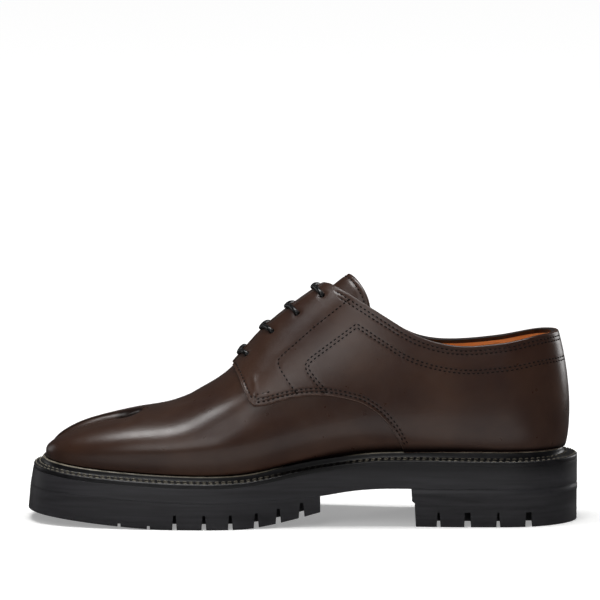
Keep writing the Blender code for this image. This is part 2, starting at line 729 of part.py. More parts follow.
def groove_cutter(name, rows, bottom, group):
    """Tapered slots cut into both edges of a tread, wide at the ground."""
    form = bmesh.new()
    for row in rows:
        along, width, narrow, depth = (row[GROOVE_COLUMNS.index(key)] for key in GROOVE_COLUMNS)
        low = float(bottom(np.array(along)))
        for side, sign in SIDES.items():
            edge = sign * half_width_bottom(side, along)
            near = edge + sign * CUT_OVERRUN
            far = edge - sign * GROOVE_REACH
            slot = bmesh.ops.create_cube(form, size=1.0)["verts"]
            for vert in slot:
                upper = vert.co.z > 0
                span = narrow if upper else width
                height = low + depth if upper else low - CUT_OVERRUN
                side_place = near if vert.co.y * sign > 0 else far
                place = (along + np.sign(vert.co.x) * span / 2, side_place, height)
                vert.co = Vector(world(np.array(place)))
    bmesh.ops.recalc_face_normals(form, faces=form.faces)
    mesh = bpy.data.meshes.new(name)
    form.to_mesh(mesh)
    form.free()
    return add_cutter(name, mesh, group)


def half_width_bottom(side, along):
    """Half width of the tread at a place along the shoe."""
    edge = bottom_edge(side)
    order = np.argsort(edge[:, 0])
    return abs(float(np.interp(along, edge[order, 0], edge[order, 1])))


def add_cutter(name, mesh, group):
    item = bpy.data.objects.new(name, mesh)
    group.objects.link(item)
    item.hide_render = True
    item.display_type = "WIRE"
    return item


def make_outsole(group, finish, cutters):
    """Forefoot half sole with slots between its side lugs."""
    behind, ahead = OUTSOLE_FLAT_STATIONS
    rear = np.linspace(TREAD_REAR, TREAD_FLAT_START, OUTSOLE_REAR_STATIONS, endpoint=False)
    flat = np.linspace(TREAD_FLAT_START, TOE_CENTRE, behind, endpoint=False)
    round_toe = np.linspace(1, 2, SIDE_SAMPLES)
    turn = np.interp(TREAD_FLAT_END, plan("medial", round_toe)[:, 0], round_toe)
    ball = np.linspace(1, turn, ahead, endpoint=False)
    toe = np.linspace(turn, 2, OUTSOLE_TOE_STATIONS)
    stations = np.concatenate((station_of(rear), station_of(flat), ball, toe))
    top = (flared(MIDSOLE_LOW_FLARE), lambda along: level("under", along) - GAP)
    low = (flared(1.0), tread_height)
    item = stack("outsole", stations, (top, low), group, finish)
    cut(item, groove_cutter("outsole_slots", FOREFOOT_GROOVES, tread_height, cutters))
    return item


def make_heel(group, finish, cutters):
    """Heel block with a raised rib under the midsole, slots between its lugs and a stepped front."""
    back = np.linspace(-1, 0, HEEL_BACK_STATIONS, endpoint=False)
    sides = station_of(np.linspace(HEEL_CENTRE, HEEL_FRONT, HEEL_SIDE_STATIONS))
    stations = np.concatenate((back, sides))
    plain = flat_inset(HEEL_RIB_PROUD)
    proud = flat_inset(0.0)
    rings = (
        (plain, lambda along: level("under", along) - GAP),
        (plain, lambda along: np.full_like(along, HEEL_RIB_TOP)),
        (proud, lambda along: np.full_like(along, HEEL_RIB_TOP - HEEL_RIB_EDGE)),
        (proud, lambda along: np.full_like(along, HEEL_RIB_BOTTOM + HEEL_RIB_EDGE)),
        (plain, lambda along: np.full_like(along, HEEL_RIB_BOTTOM)),
        (plain, np.zeros_like),
    )
    item = stack("heel", stations, rings, group, finish)
    cut(item, groove_cutter("heel_slots", HEEL_GROOVES, np.zeros_like, cutters))
    cut(item, breast_cutter(cutters))
    return item


def breast_cutter(cutters):
    """Wedge that sets the lower front of the heel back behind a small lip."""
    form = bmesh.new()
    profile = (
        (HEEL_FRONT, HEEL_LIP_TOP),
        (HEEL_FRONT - HEEL_LIP_DEPTH, HEEL_LIP_BOTTOM),
        (HEEL_FRONT - HEEL_LIP_DEPTH, -CUT_OVERRUN),
        (HEEL_FRONT + CUT_OVERRUN, -CUT_OVERRUN),
        (HEEL_FRONT + CUT_OVERRUN, HEEL_LIP_TOP),
    )
    rims = []
    for sign in SIDES.values():
        across = sign * BREAST_CUT_HALF_WIDTH
        rims.append([form.verts.new(world((along, across, height))) for along, height in profile])
    form.faces.new(rims[0])
    form.faces.new(rims[1])
    for index in range(len(profile)):
        after = (index + 1) % len(profile)
        form.faces.new((rims[0][index], rims[1][index], rims[1][after], rims[0][after]))
    bmesh.ops.recalc_face_normals(form, faces=form.faces)
    mesh = bpy.data.meshes.new("heel_breast")
    form.to_mesh(mesh)
    form.free()
    return add_cutter("heel_breast", mesh, cutters)


def eyelet_places(side):
    stations = station_of(np.array(EYELET_ALONG))
    girth = girth_from_ridge(side, stations, np.array(EYELET_FROM_RIDGE))
    return stations, girth


def eyelet_cutter(cutters):
    """Round holes through both facings, square to the leather."""
    form = bmesh.new()
    for side in SIDES:
        stations, girth = eyelet_places(side)
        inner = world(offset_point(side, stations, girth, -EYELET_CUT_REACH))
        outer = world(offset_point(side, stations, girth, EYELET_CUT_REACH))
        for low, high in zip(inner, outer):
            axis = Vector(high - low)
            turn = Vector((0, 0, 1)).rotation_difference(axis).to_matrix().to_4x4()
            turn.translation = Vector((low + high) / 2)
            radius = EYELET_DIAMETER / 2 * MM
            bmesh.ops.create_cone(form, cap_ends=True, segments=EYELET_SIDES, radius1=radius, radius2=radius,
                                  depth=axis.length, matrix=turn)
    mesh = bpy.data.meshes.new("eyelet_holes")
    form.to_mesh(mesh)
    form.free()
    return add_cutter("eyelet_holes", mesh, cutters)


def make_lace_bars(group, finish):
    """Bars of round lace over the throat, bowed a little forwards, each end bent down into its eyelet."""
    for index, (along, reach, forward) in enumerate(zip(EYELET_ALONG, EYELET_FROM_RIDGE, LACE_FORWARD)):
        rise, run = np.array(LACE_BEND_ROWS).T
        stations = station_of(along + forward * run / reach)
        ends = []
        for side in SIDES:
            girth = girth_from_ridge(side, stations, reach - run)
            ends.append(offset_point(side, stations, girth, rise[:, None]))
        route = world(np.concatenate((ends[0], ends[1][::-1])))
        curve = bpy.data.curves.new("lace_route", "CURVE")
        curve.dimensions = "3D"
        curve.bevel_depth = LACE_DIAMETER / 2 * MM
        curve.bevel_resolution = LACE_BEVEL_RESOLUTION
        curve.use_fill_caps = True
        line = curve.splines.new("POLY")
        line.points.add(len(route) - 1)
        for point, place in zip(line.points, route):
            point.co = (*place, 1.0)
        curve.materials.append(finish)
        item = bpy.data.objects.new("lace_bar_" + str(index + 1), curve)
        group.objects.link(item)


def main():
    clear_scene()
    shoe = collection("split_toe_lace_up_shoe")
    cutters = collection("cutters")
    calf = material("brown_calf", (0.045, 0.026, 0.021), 0.34)
    lining = material("tan_lining", (0.38, 0.17, 0.07), 0.55)
    welting = material("black_welt", (0.02, 0.019, 0.019), 0.42)
    rubber = material("black_rubber", (0.026, 0.025, 0.027), 0.5)
    waxed = material("waxed_lace", (0.012, 0.011, 0.011), 0.4)
    eyelets = eyelet_cutter(cutters)
    make_upper(shoe, calf, eyelets)
    for side in SIDES:
        make_quarter(side, shoe, calf, eyelets)
    make_tongue(shoe, calf)
    make_insole(shoe, lining)
    make_welt(shoe, welting)
    make_midsole(shoe, rubber)
    make_outsole(shoe, rubber, cutters)
    make_heel(shoe, rubber, cutters)
    make_lace_bars(shoe, waxed)


main()
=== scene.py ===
import math

import bmesh
import bpy
import numpy as np
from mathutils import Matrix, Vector

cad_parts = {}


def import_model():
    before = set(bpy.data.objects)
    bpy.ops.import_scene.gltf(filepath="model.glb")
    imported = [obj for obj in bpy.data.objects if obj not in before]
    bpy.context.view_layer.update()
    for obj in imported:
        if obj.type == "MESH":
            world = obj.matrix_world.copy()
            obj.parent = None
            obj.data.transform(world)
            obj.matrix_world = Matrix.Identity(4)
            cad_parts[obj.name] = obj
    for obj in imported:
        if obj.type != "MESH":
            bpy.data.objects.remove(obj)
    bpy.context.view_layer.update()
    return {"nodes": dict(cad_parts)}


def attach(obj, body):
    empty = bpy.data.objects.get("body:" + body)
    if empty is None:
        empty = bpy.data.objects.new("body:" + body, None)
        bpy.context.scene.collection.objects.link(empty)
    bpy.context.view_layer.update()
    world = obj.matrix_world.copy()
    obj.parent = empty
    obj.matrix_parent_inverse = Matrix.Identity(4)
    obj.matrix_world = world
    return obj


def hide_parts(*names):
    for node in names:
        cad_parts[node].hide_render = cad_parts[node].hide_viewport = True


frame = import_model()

print("frame loaded:", sorted(frame["nodes"]))

# The last, in millimetres. "along" runs forwards from the back of the heel, "across" to the outer side.
shoe = {
    "soleLength": 300.0,
    "heelCentre": 40.0,
    "toeCentre": 200.0,
    "topLength": 297.0,
    "tipSide": 2.0,
    "toeReach": 35.0,
    "toeBluntness": 0.29,
    "weltThickness": 3.0,
    "seatGap": 0.5,
    "wall": 1.8,
    "fineStep": 2e-3,
    "mergeDistance": 1e-6,
}
sideSign = {"medial": -1, "lateral": 1}


def columns(names, *rows):
    # a table of named columns from its rows
    return dict(zip(names.split(), np.array(rows, float).T))


soleTable = columns(
    "along medial lateral weltMedial weltLateral",
    (0, 37.5, 37.5, 9.4, 9.4),
    (40, 37.5, 37.5, 8.0, 8.0),
    (80, 36.2, 39.5, 7.0, 7.3),
    (120, 32.2, 46.0, 5.4, 7.2),
    (160, 38.0, 54.5, 5.8, 7.2),
    (200, 47.4, 60.0, 7.0, 7.2),
    (250, 43.0, 52.0, 7.0, 7.0),
    (297, 30.0, 30.0, 6.8, 6.8),
)
middleTable = {name: values[1:6] for name, values in soleTable.items()}
levelTable = columns(
    "along edge bead spring under flare",
    (0, 36.2, 3.9, 3.9, 20.8, 0.0),
    (45, 36.0, 4.6, 3.9, 20.8, 0.0),
    (92, 36.6, 4.0, 3.9, 20.8, 0.0),
    (113, 35.8, 4.0, 4.0, 20.2, 0.1),
    (127, 34.2, 4.1, 4.2, 18.7, 0.2),
    (141, 32.3, 4.2, 4.4, 16.6, 0.4),
    (157, 29.6, 4.0, 4.5, 15.6, 0.7),
    (175, 26.3, 3.6, 4.6, 14.6, 1.1),
    (195, 25.0, 3.5, 4.6, 14.2, 1.4),
    (220, 25.2, 3.5, 4.5, 14.5, 1.8),
    (250, 26.6, 3.5, 4.2, 15.9, 2.2),
    (277, 28.4, 3.7, 3.9, 17.6, 2.6),
    (297, 30.9, 3.6, 3.6, 19.0, 3.0),
)
lastTable = columns(
    "along ridgeSide ridgeHeight rise swellMedial swellLateral fullMedial fullLateral",
    (0, 0.0, 144.0, 21.0, 3.2, 3.2, 1.80, 1.80),
    (40, 0.0, 143.0, 21.0, 3.8, 3.8, 1.76, 1.76),
    (75, 0.0, 142.0, 21.0, 5.0, 4.2, 1.72, 1.72),
    (105, 0.5, 141.0, 21.0, 8.0, 5.0, 1.68, 1.66),
    (124, 1.0, 136.6, 20.0, 9.0, 5.2, 1.66, 1.64),
    (140, 1.5, 127.2, 19.0, 8.6, 5.0, 1.66, 1.64),
    (157, 2.0, 114.9, 17.5, 7.2, 4.6, 1.68, 1.64),
    (174, 2.5, 99.7, 16.0, 5.4, 4.0, 1.70, 1.66),
    (190, 3.0, 81.7, 14.5, 4.0, 3.6, 1.78, 1.72),
    (204, 3.0, 72.0, 13.0, 3.2, 3.2, 1.88, 1.82),
    (219, 1.4, 64.2, 11.5, 2.8, 3.0, 2.00, 2.02),
    (238, -2.0, 60.4, 9.8, 2.4, 2.6, 2.12, 2.34),
    (265, 0.5, 55.6, 7.2, 1.6, 2.0, 2.14, 2.34),
    (297, 2.0, 50.0, 3.6, 0.8, 0.8, 2.05, 2.05),
)
collarTable = columns(
    "along medial lateral",
    (0, 103.2, 103.2),
    (14, 103.2, 101.6),
    (31, 101.2, 98.7),
    (48, 99.2, 96.2),
    (62, 98.4, 94.8),
    (74, 99.8, 94.6),
    (88, 104.2, 97.0),
    (104, 113.2, 105.4),
    (120, 122.4, 116.8),
    (132, 128.2, 125.2),
    (142, 130.6, 129.6),
)
quarterTable = columns(
    "along height",
    (95.6, 43.2),
    (97.4, 47.0),
    (99.6, 51.0),
    (103.0, 56.2),
    (107.0, 60.8),
    (111.6, 64.4),
    (117.2, 67.7),
    (124.0, 69.8),
    (136.0, 71.9),
    (148.0, 71.9),
    (162.0, 69.4),
    (171.0, 67.0),
    (176.0, 66.5),
)


def spline(table, name, at, levelEnds=False):
    # cubic curve through one column of a table, natural or level at its ends, held past them
    knots, values = table["along"], table[name]
    step = np.diff(knots)
    slope = np.diff(values) / step
    size = len(knots)
    inner = np.arange(1, size - 1)
    matrix = np.eye(size)
    matrix[inner, inner - 1] = step[:-1]
    matrix[inner, inner] = 2 * (step[:-1] + step[1:])
    matrix[inner, inner + 1] = step[1:]
    right = np.zeros(size)
    right[inner] = 6 * np.diff(slope)
    if levelEnds:
        matrix[0, :2] = 2 * step[0], step[0]
        matrix[-1, -2:] = step[-1], 2 * step[-1]
        right[0], right[-1] = 6 * slope[0], -6 * slope[-1]
    bend = np.linalg.solve(matrix, right)
    at = np.clip(np.asarray(at, float), knots[0], knots[-1])
    cell = np.clip(np.searchsorted(knots, at) - 1, 0, size - 2)
    width = step[cell]
    before = (knots[cell + 1] - at) / width
    after = (at - knots[cell]) / width
    curve = (before ** 3 - before) * bend[cell] + (after ** 3 - after) * bend[cell + 1]
    return before * values[cell] + after * values[cell + 1] + curve * width ** 2 / 6


def smoothStep(low, high, value):
    # ease from 0 at low to 1 at high
    part = np.clip((value - low) / (high - low), 0, 1)
    return part * part * (3 - 2 * part)


def window(rise, fall, value):
    # 1 between two eased ends, 0 outside them
    return smoothStep(*rise, value) * (1 - smoothStep(*fall, value))


def quarterRound(distance, radius):
    # share of the full height beside a rounded edge: a quarter circle over the radius, then level
    return np.sqrt(np.clip(1 - (1 - np.clip(distance / radius, 0, 1)) ** 2, 0, 1))


def unit(vectors):
    # vectors scaled to length one
    return vectors / np.maximum(np.linalg.norm(vectors, axis=-1, keepdims=True), 1e-12)


def runOf(path):
    # length of a path up to each of its points
    return np.concatenate(([0], np.cumsum(np.linalg.norm(np.diff(path, axis=0), axis=1))))


def alongPath(at, knots, path):
    # a path's values at places between its knots, straight from one to the next
    return np.stack([np.interp(at, knots, path[:, axis]) for axis in range(3)], -1)


def stationOf(along):
    # station number of a place between the heel and toe centres
    return (np.asarray(along, float) - shoe["heelCentre"]) / (shoe["toeCentre"] - shoe["heelCentre"])


def plan(side, station):
    # sole's top edge: an ellipse round the heel, a curve at the waist, a blunt ellipse round the toe
    station = np.asarray(station, float)
    heelTurn = np.clip(-station, 0, 1) * np.pi / 2
    toeTurn = np.clip(station - 1, 0, 1) * np.pi / 2
    middle = shoe["heelCentre"] + (shoe["toeCentre"] - shoe["heelCentre"]) * np.clip(station, 0, 1)
    along = middle - shoe["heelCentre"] * np.sin(heelTurn)
    reach = np.sin(toeTurn) + shoe["toeBluntness"] * (np.sin(toeTurn) * np.cos(toeTurn)) ** 2
    along = along + (shoe["topLength"] - shoe["toeCentre"]) * reach
    width = sideSign[side] * spline(middleTable, side, middle, levelEnds=True) * np.cos(heelTurn)
    toeWidth = shoe["tipSide"] + (width - shoe["tipSide"]) * np.cos(toeTurn)
    return np.stack((along, np.where(station > 1, toeWidth, width)), axis=-1)


def inward(side, station):
    # unit direction in plan from the sole's edge to its inside
    small = 1e-4
    run = plan(side, np.minimum(station + small, 2)) - plan(side, np.maximum(station - small, -1))
    return unit(np.stack((run[..., 1], -run[..., 0]), axis=-1) * sideSign[side])


def edgeLine(side, station, inset):
    # sole's edge moved inwards by an inset
    return plan(side, station) + inward(side, station) * np.asarray(inset, float)[..., None]


def weltWidth(side, along):
    # width of the welt beside the upper
    return spline(soleTable, "welt" + side.capitalize(), along)


def level(name, along):
    # height or width of the sole from its table
    return spline(levelTable, name, along)


def last(name, along):
    # measure of the last from its table
    return spline(lastTable, name, along)


def groundEdge(side):
    # sole's widest outline: its top edge moved out by the flare
    samples = np.linspace(-1, 2, 601)
    return edgeLine(side, samples, -level("flare", plan(side, samples)[:, 0]))


def seat(along):
    # height that upper, welt and insole sit at
    return level("edge", along) - shoe["weltThickness"] + shoe["seatGap"]


def ridgeLine(station):
    # point in plan that each rib of the last rises to, fanned round the heel and the toe
    station = np.asarray(station, float)
    toeTurn = np.clip(station - 1, 0, 1) * np.pi / 2
    middle = shoe["heelCentre"] + (shoe["toeCentre"] - shoe["heelCentre"]) * np.clip(station, 0, 1)
    along = middle + (shoe["topLength"] - shoe["toeReach"] - shoe["toeCentre"]) * np.sin(toeTurn)
    return np.stack((along, last("ridgeSide", along)), axis=-1)


def ribFrame(side, station):
    # feather, swell, ridge and heights of the rib at a station
    along = plan(side, station)[..., 0]
    feather = edgeLine(side, station, weltWidth(side, along))
    swell = feather - inward(side, station) * last("swell" + side.capitalize(), along)[..., None]
    foot = level("edge", along) + level("bead", along)
    belly = level("edge", along) + level("spring", along) + last("rise", along)
    full = last("full" + side.capitalize(), along)
    return feather, swell, ridgeLine(station), seat(along), foot, belly, full


split = {
    "end": 237.0,
    "heartHeight": 35.0,
    "depth": 13.0,
    "ease": 0.4,
    "lip": 8.5,
    "floor": 0.3,
    "fadeLow": 31.4,
    "fadeHigh": 35.5,
    "outerLobeShorter": 3.2,
    "innerLobeLower": 1.9,
    "lowerRun": 9.0,
    "lowerHeights": (38.0, 50.0),
    "lowerSpread": (7.0, 25.0),
    "shorterStart": 255.0,
    "shorterEnd": 285.0,
}


def splitPinch(side, points):
    # leather beside the split is drawn towards the heart of the toe, which leaves two rounded lobes
    along, across, height = np.moveaxis(points, -1, 0)
    forward = np.maximum(along - split["end"], 0)
    up = np.maximum(height - split["heartHeight"], 0)
    angle = np.arctan2(up, np.maximum(forward, 1e-4))
    depth = split["depth"] * np.clip(1 - (angle / (np.pi / 2)) ** 2, 0, 1) ** split["ease"]
    shorter = split["outerLobeShorter"] if side == "lateral" else 0.0
    lower = split["innerLobeLower"] if side == "medial" else 0.0
    lower = lower * smoothStep(split["end"], split["end"] + split["lowerRun"], along)
    beside = np.abs(across - last("ridgeSide", along))
    lower = lower * smoothStep(*split["lowerHeights"], height) * (1 - smoothStep(*split["lowerSpread"], beside))
    front = smoothStep(split["shorterStart"], split["shorterEnd"], along)
    near = np.clip(1 - (beside - split["floor"]) / split["lip"], 0, 1)
    lip = 1 - np.sqrt(np.clip(1 - near ** 2, 0, 1))
    fade = smoothStep(split["fadeLow"], split["fadeHigh"], height)
    pull = np.where(along > split["end"], depth * lip * fade, 0)
    reach = np.maximum(np.hypot(forward, up), 1.0)
    moved = points.copy()
    moved[..., 0] = along - pull * forward / reach - shorter * front * fade * (1 - lip)
    moved[..., 2] = height - pull * up / reach - lower * (1 - lip)
    return moved


def upperPoint(side, station, girth):
    # outside of the upper; girth is -2 at the bottom edge, -1 feather, 0 swell, 1 ridge. Below the swell a rib is a
    # quarter ellipse, above it a superellipse whose exponent is the fullness of that side
    station, girth = np.broadcast_arrays(np.asarray(station, float), np.asarray(girth, float))
    feather, swell, ridge, bottom, foot, belly, full = ribFrame(side, station)
    below = np.clip(girth + 2, 0, 1)
    tuck = np.clip(-girth, 0, 1) * np.pi / 2
    rise = np.clip(girth, 0, 1) * np.pi / 2
    outward = np.maximum(np.cos(rise), 0) ** (2 / full)
    climb = np.sin(rise) ** (2 / full)
    sideWall = feather + (swell - feather) * np.cos(tuck)[..., None]
    crown = ridge + (swell - ridge) * outward[..., None]
    ground = np.where((girth > 0)[..., None], crown, sideWall)
    top = last("ridgeHeight", ground[..., 0])
    tucked = belly - (belly - foot) * np.sin(tuck)
    wallHeight = np.where(girth < -1, bottom + (foot - bottom) * below, tucked)
    height = np.where(girth > 0, belly + (top - belly) * climb, wallHeight)
    return splitPinch(side, np.concatenate((ground, height[..., None]), axis=-1))


def upperSlopes(side, station, girth):
    # how the outside moves for a small change of station and of girth
    step = shoe["fineStep"]
    ahead, behind = np.minimum(station + step, 2), np.maximum(station - step, -1)
    higher, lower = np.minimum(girth + step, 1), girth - step
    byStation = (upperPoint(side, ahead, girth) - upperPoint(side, behind, girth)) / (ahead - behind)[..., None]
    byGirth = (upperPoint(side, station, higher) - upperPoint(side, station, lower)) / (higher - lower)[..., None]
    return byStation, byGirth


def upperNormal(side, station, girth):
    # outward unit normal: the cross product of the two slopes
    station, girth = np.broadcast_arrays(np.asarray(station, float), np.asarray(girth, float))
    byStation, byGirth = upperSlopes(side, station, girth)
    return unit(np.cross(byGirth, byStation) * sideSign[side])


def walkOnUpper(side, station, girth, move):
    # station and girth of the place on the upper nearest to a point moved off from another, in a few Newton steps
    station, girth = np.array(station, float), np.array(girth, float)
    target = upperPoint(side, station, girth) + move
    for _ in range(4):
        miss = target - upperPoint(side, station, girth)
        byStation, byGirth = upperSlopes(side, station, girth)
        stationSquare = (byStation * byStation).sum(-1)
        mixed = (byStation * byGirth).sum(-1)
        girthSquare = (byGirth * byGirth).sum(-1)
        stationMiss = (byStation * miss).sum(-1)
        girthMiss = (byGirth * miss).sum(-1)
        scale = np.maximum(stationSquare * girthSquare - mixed * mixed, 1e-9)
        station = station + (stationMiss * girthSquare - mixed * girthMiss) / scale
        girth = girth + (stationSquare * girthMiss - mixed * stationMiss) / scale
    return station, girth


def girthAtHeight(side, station, height):
    # girth at which a rib reaches a height, above or below its swell
    foot, belly, full = ribFrame(side, station)[4:]
    top = last("ridgeHeight", ridgeLine(station)[..., 0])
    climb = np.clip((height - belly) / (top - belly), 0, 1)
    above = np.arcsin(climb ** (full / 2)) / (np.pi / 2)
    below = -np.arcsin(np.clip((belly - height) / (belly - foot), 0, 1)) / (np.pi / 2)
    return np.where(height < belly, below, above)


def girthFromRidge(side, station, distance):
    # girth at a distance to the side of the ridge
    parts = ribFrame(side, station)
    swell, ridge, full = parts[1], parts[2], parts[6]
    share = np.clip(distance / np.linalg.norm(swell - ridge, axis=-1), 0, 1)
    return np.arccos(share ** (full / 2)) / (np.pi / 2)


facing = {
    "halfGap": 3.4,
    "throatHalfGap": 4.2,
    "throatEnd": 190.0,
    "throatRound": 7.0,
    "top": 141.0,
    "topBlend": 4.0,
    "front": 187.4,
    "frontRound": 5.0,
    "frontDrop": 3.2,
    "frontBend": 2.5,
    "cornerBlend": 0.07,
    "eyeletAlong": (179.2, 166.0, 152.4, 138.8),
    "eyeletFromRidge": (12.2, 12.5, 12.2, 10.6),
    "eyeletRadius": 1.7,
    "eyeletSides": 28,
    "eyeletReach": 4.0,   # of the cutting bar, to each side of the leather
}


def topGirth(side, station, halfGap):
    # upper edge: the collar behind and the throat's edge along the facings, blended round their corner
    along = plan(side, station)[..., 0]
    edge = girthFromRidge(side, station, halfGap)
    collar = girthAtHeight(side, station, spline(collarTable, side, along))
    blend = np.maximum(facing["cornerBlend"] - np.abs(collar - edge), 0) ** 2 / (4 * facing["cornerBlend"])
    return np.where(along < facing["top"] + facing["topBlend"], np.minimum(collar, edge) - blend, edge)


centreSide = groundEdge("medial")[:, 1].min() / 2 + groundEdge("lateral")[:, 1].max() / 2


def world(points):
    # millimetres along, across and up to metres in the shoe's frame
    along, across, height = np.moveaxis(np.asarray(points, float), -1, 0)
    return np.stack((shoe["soleLength"] / 2 - along, across - centreSide, height), axis=-1) / 1000


print("last worked out, centre of the sole at", round(float(centreSide), 2), "mm")


def gridFaces(rows, count, wrapColumns=False, start=0):
    # corner numbers of the quads of a grid of rows by count points
    across = np.arange(count if wrapColumns else count - 1)
    after = (across + 1) % count
    base = np.arange(rows - 1)[:, None] * count + start
    return np.stack((base + across, base + count + across, base + count + after, base + after), -1).reshape(-1, 4)


def addPiece(name, points, faces, materials, faceMaterial=None, merge=0.0, recalc=False, sharp=None):
    # mesh object from points in millimetres, welded where its patches meet
    mesh = bpy.data.meshes.new(name)
    mesh.from_pydata(world(points.reshape(-1, 3)).tolist(), [], faces.tolist())
    for finish in materials:
        mesh.materials.append(finish)
    if faceMaterial is not None:
        mesh.polygons.foreach_set("material_index", np.asarray(faceMaterial, np.int32))
    if merge or recalc:
        form = bmesh.new()
        form.from_mesh(mesh)
        if merge:
            bmesh.ops.remove_doubles(form, verts=form.verts, dist=merge)
            bmesh.ops.dissolve_degenerate(form, edges=form.edges, dist=merge)
        if recalc:
            bmesh.ops.recalc_face_normals(form, faces=form.faces)
        form.to_mesh(mesh)
        form.free()
    mesh.shade_smooth()
    if sharp is not None:
        mesh.set_sharp_from_angle(angle=math.radians(sharp))
    piece = bpy.data.objects.new(name, mesh)
    bpy.context.scene.collection.objects.link(piece)
    return piece


def lidFaces(count):
    # quads that close a ring of points, in strips between its two halves
    numbers = np.arange(count)
    first, second = numbers[:count // 2], numbers[::-1][:count // 2]
    return np.stack((first[:-1], first[1:], second[1:], second[:-1]), -1)


def tubeFaces(rows, count):
    # skin of a tube and a lid at each end
    lid = lidFaces(count)
    return np.concatenate((gridFaces(rows, count, wrapColumns=True), lid, (lid + (rows - 1) * count)[:, ::-1]))


def settle(piece, slotName, *nodes):
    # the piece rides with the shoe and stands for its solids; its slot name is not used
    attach(piece, "root")
    if nodes:
        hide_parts(*nodes)
    return piece


def shellFaces(rows, count):
    # closed shell of an outer grid and an inner grid of the same size: two skins and four rims
    outer = gridFaces(rows, count)
    inner = gridFaces(rows, count, start=rows * count)[:, ::-1]
    size = rows * count
    numbers = np.arange(size).reshape(rows, count)
    loop = np.concatenate((numbers[:-1, 0], numbers[-1, :-1], numbers[:0:-1, -1], numbers[0, :0:-1]))
    after = np.roll(loop, -1)
    rimStrip = np.stack((loop, loop + size, after + size, after), -1)
    return outer, inner, rimStrip


def squaresTo(points, line):
    # squared distance of each point to each sample of a line
    return (points ** 2).sum(1)[:, None] + (line ** 2).sum(1)[None] - 2 * points @ line.T


def distanceTo(points, line):
    # distance of each point to the nearest point of a line of samples
    flat = points.reshape(-1, 3)
    nearest = np.empty(len(flat))
    chunk = 6000   # points at a time, to spare memory
    for start in range(0, len(flat), chunk):
        square = squaresTo(flat[start:start + chunk], line).min(1)
        nearest[start:start + chunk] = np.sqrt(np.maximum(square, 0))
    return nearest.reshape(points.shape[:-1])


def resample(path, pitch):
    # middles of a path's parts, cut to equal lengths near a pitch, their directions and shares of the whole length
    run = runOf(path)
    count = max(int(round(run[-1] / pitch)), 1)
    middles = (np.arange(count) + 0.5) * run[-1] / count
    reach = run[-1] / count * 0.25
    direction = unit(alongPath(middles + reach, run, path) - alongPath(middles - reach, run, path))
    return alongPath(middles, run, path), direction, middles / run[-1]


stitch = {   # rings of one stitch: place down its length, girth and dip as shares of its radius
    "sides": 6,
    "place": (-0.5, -0.42, -0.15, 0.15, 0.42, 0.5),
    "girth": (0.15, 0.8, 1.0, 1.0, 0.8, 0.15),
    "dip": (-1.6, -0.7, 0.0, 0.0, -0.7, -1.6),
}


def stitchRow(path, knots, normals, pitch, length, radius, lift):
    # row of small capsules down a path, each on the normal at its place, its ends dipping into the leather
    centre, direction, where = resample(path, pitch)
    place, girth, dip = (np.array(stitch[name]) for name in ("place", "girth", "dip"))
    turns = np.linspace(0, 2 * np.pi, stitch["sides"], endpoint=False)
    sideways = unit(np.cross(unit(alongPath(where, knots, normals)), direction))
    normal = np.cross(direction, sideways)
    ringSide = np.cos(turns)[None] * girth[:, None] * radius
    ringUp = np.sin(turns)[None] * girth[:, None] * radius + (dip[:, None] * radius) + lift
    points = (centre[:, None, None] + direction[:, None, None] * (place * length)[None, :, None, None]
              + sideways[:, None, None] * ringSide[None, ..., None] + normal[:, None, None] * ringUp[None, ..., None])
    rows, count = ringSide.shape
    every = tubeFaces(rows, count)[None] + (np.arange(len(centre)) * rows * count)[:, None, None]
    return points.reshape(-1, 3), every.reshape(-1, 4)


def joinGrids(parts):
    # several lots of points and faces as one
    points, faces, start = [], [], 0
    for somePoints, someFaces in parts:
        points.append(somePoints)
        faces.append(someFaces + start)
        start += len(somePoints)
    return np.concatenate(points), np.concatenate(faces)


def tubeGrid(path, radius, sides, normalHint, flat=1.0):
    # tube along a path: a ring of points square to the path at each place, round or pressed flat
    direction = unit(np.gradient(path, axis=0))
    sideways = unit(np.cross(normalHint, direction))
    upward = np.cross(direction, sideways)
    turns = np.linspace(0, 2 * np.pi, sides, endpoint=False)
    radius = np.broadcast_to(np.asarray(radius, float), (len(path),))
    return path[:, None] + radius[:, None, None] * (np.cos(turns)[None, :, None] * sideways[:, None]
                                                    + flat * np.sin(turns)[None, :, None] * upward[:, None])


def hexColour(code):
    # sRGB hex to linear colour
    channel = np.array([int(code[place:place + 2], 16) for place in (1, 3, 5)]) / 255
    linear = np.where(channel <= 0.04045, channel / 12.92, ((channel + 0.055) / 1.055) ** 2.4)
    return (*linear.tolist(), 1.0)


def setInputs(tree, node, inputs):
    # values and links of a node's sockets
    for name, value in inputs.items():
        if isinstance(value, bpy.types.NodeSocket):
            tree.links.new(value, node.inputs[name])
        else:
            node.inputs[name].default_value = value


def addNode(tree, kind, inputs=None, **settings):
    # one node with its settings, values and links
    node = tree.nodes.new(kind)
    for name, value in settings.items():
        setattr(node, name, value)
    setInputs(tree, node, inputs or {})
    return node


bumpDepth = 0.0002   # metres


def perMetre(millimetres):
    # texture scale for a feature of a real size
    return 1000.0 / millimetres


def newMaterial(name):
    # material with its tree, its shader and the place on the object in metres
    finish = bpy.data.materials.new(name)
    finish.use_nodes = True
    tree = finish.node_tree
    shader = tree.nodes["Principled BSDF"]
    where = addNode(tree, "ShaderNodeTexCoord")
    return finish, tree, shader, where.outputs["Object"]


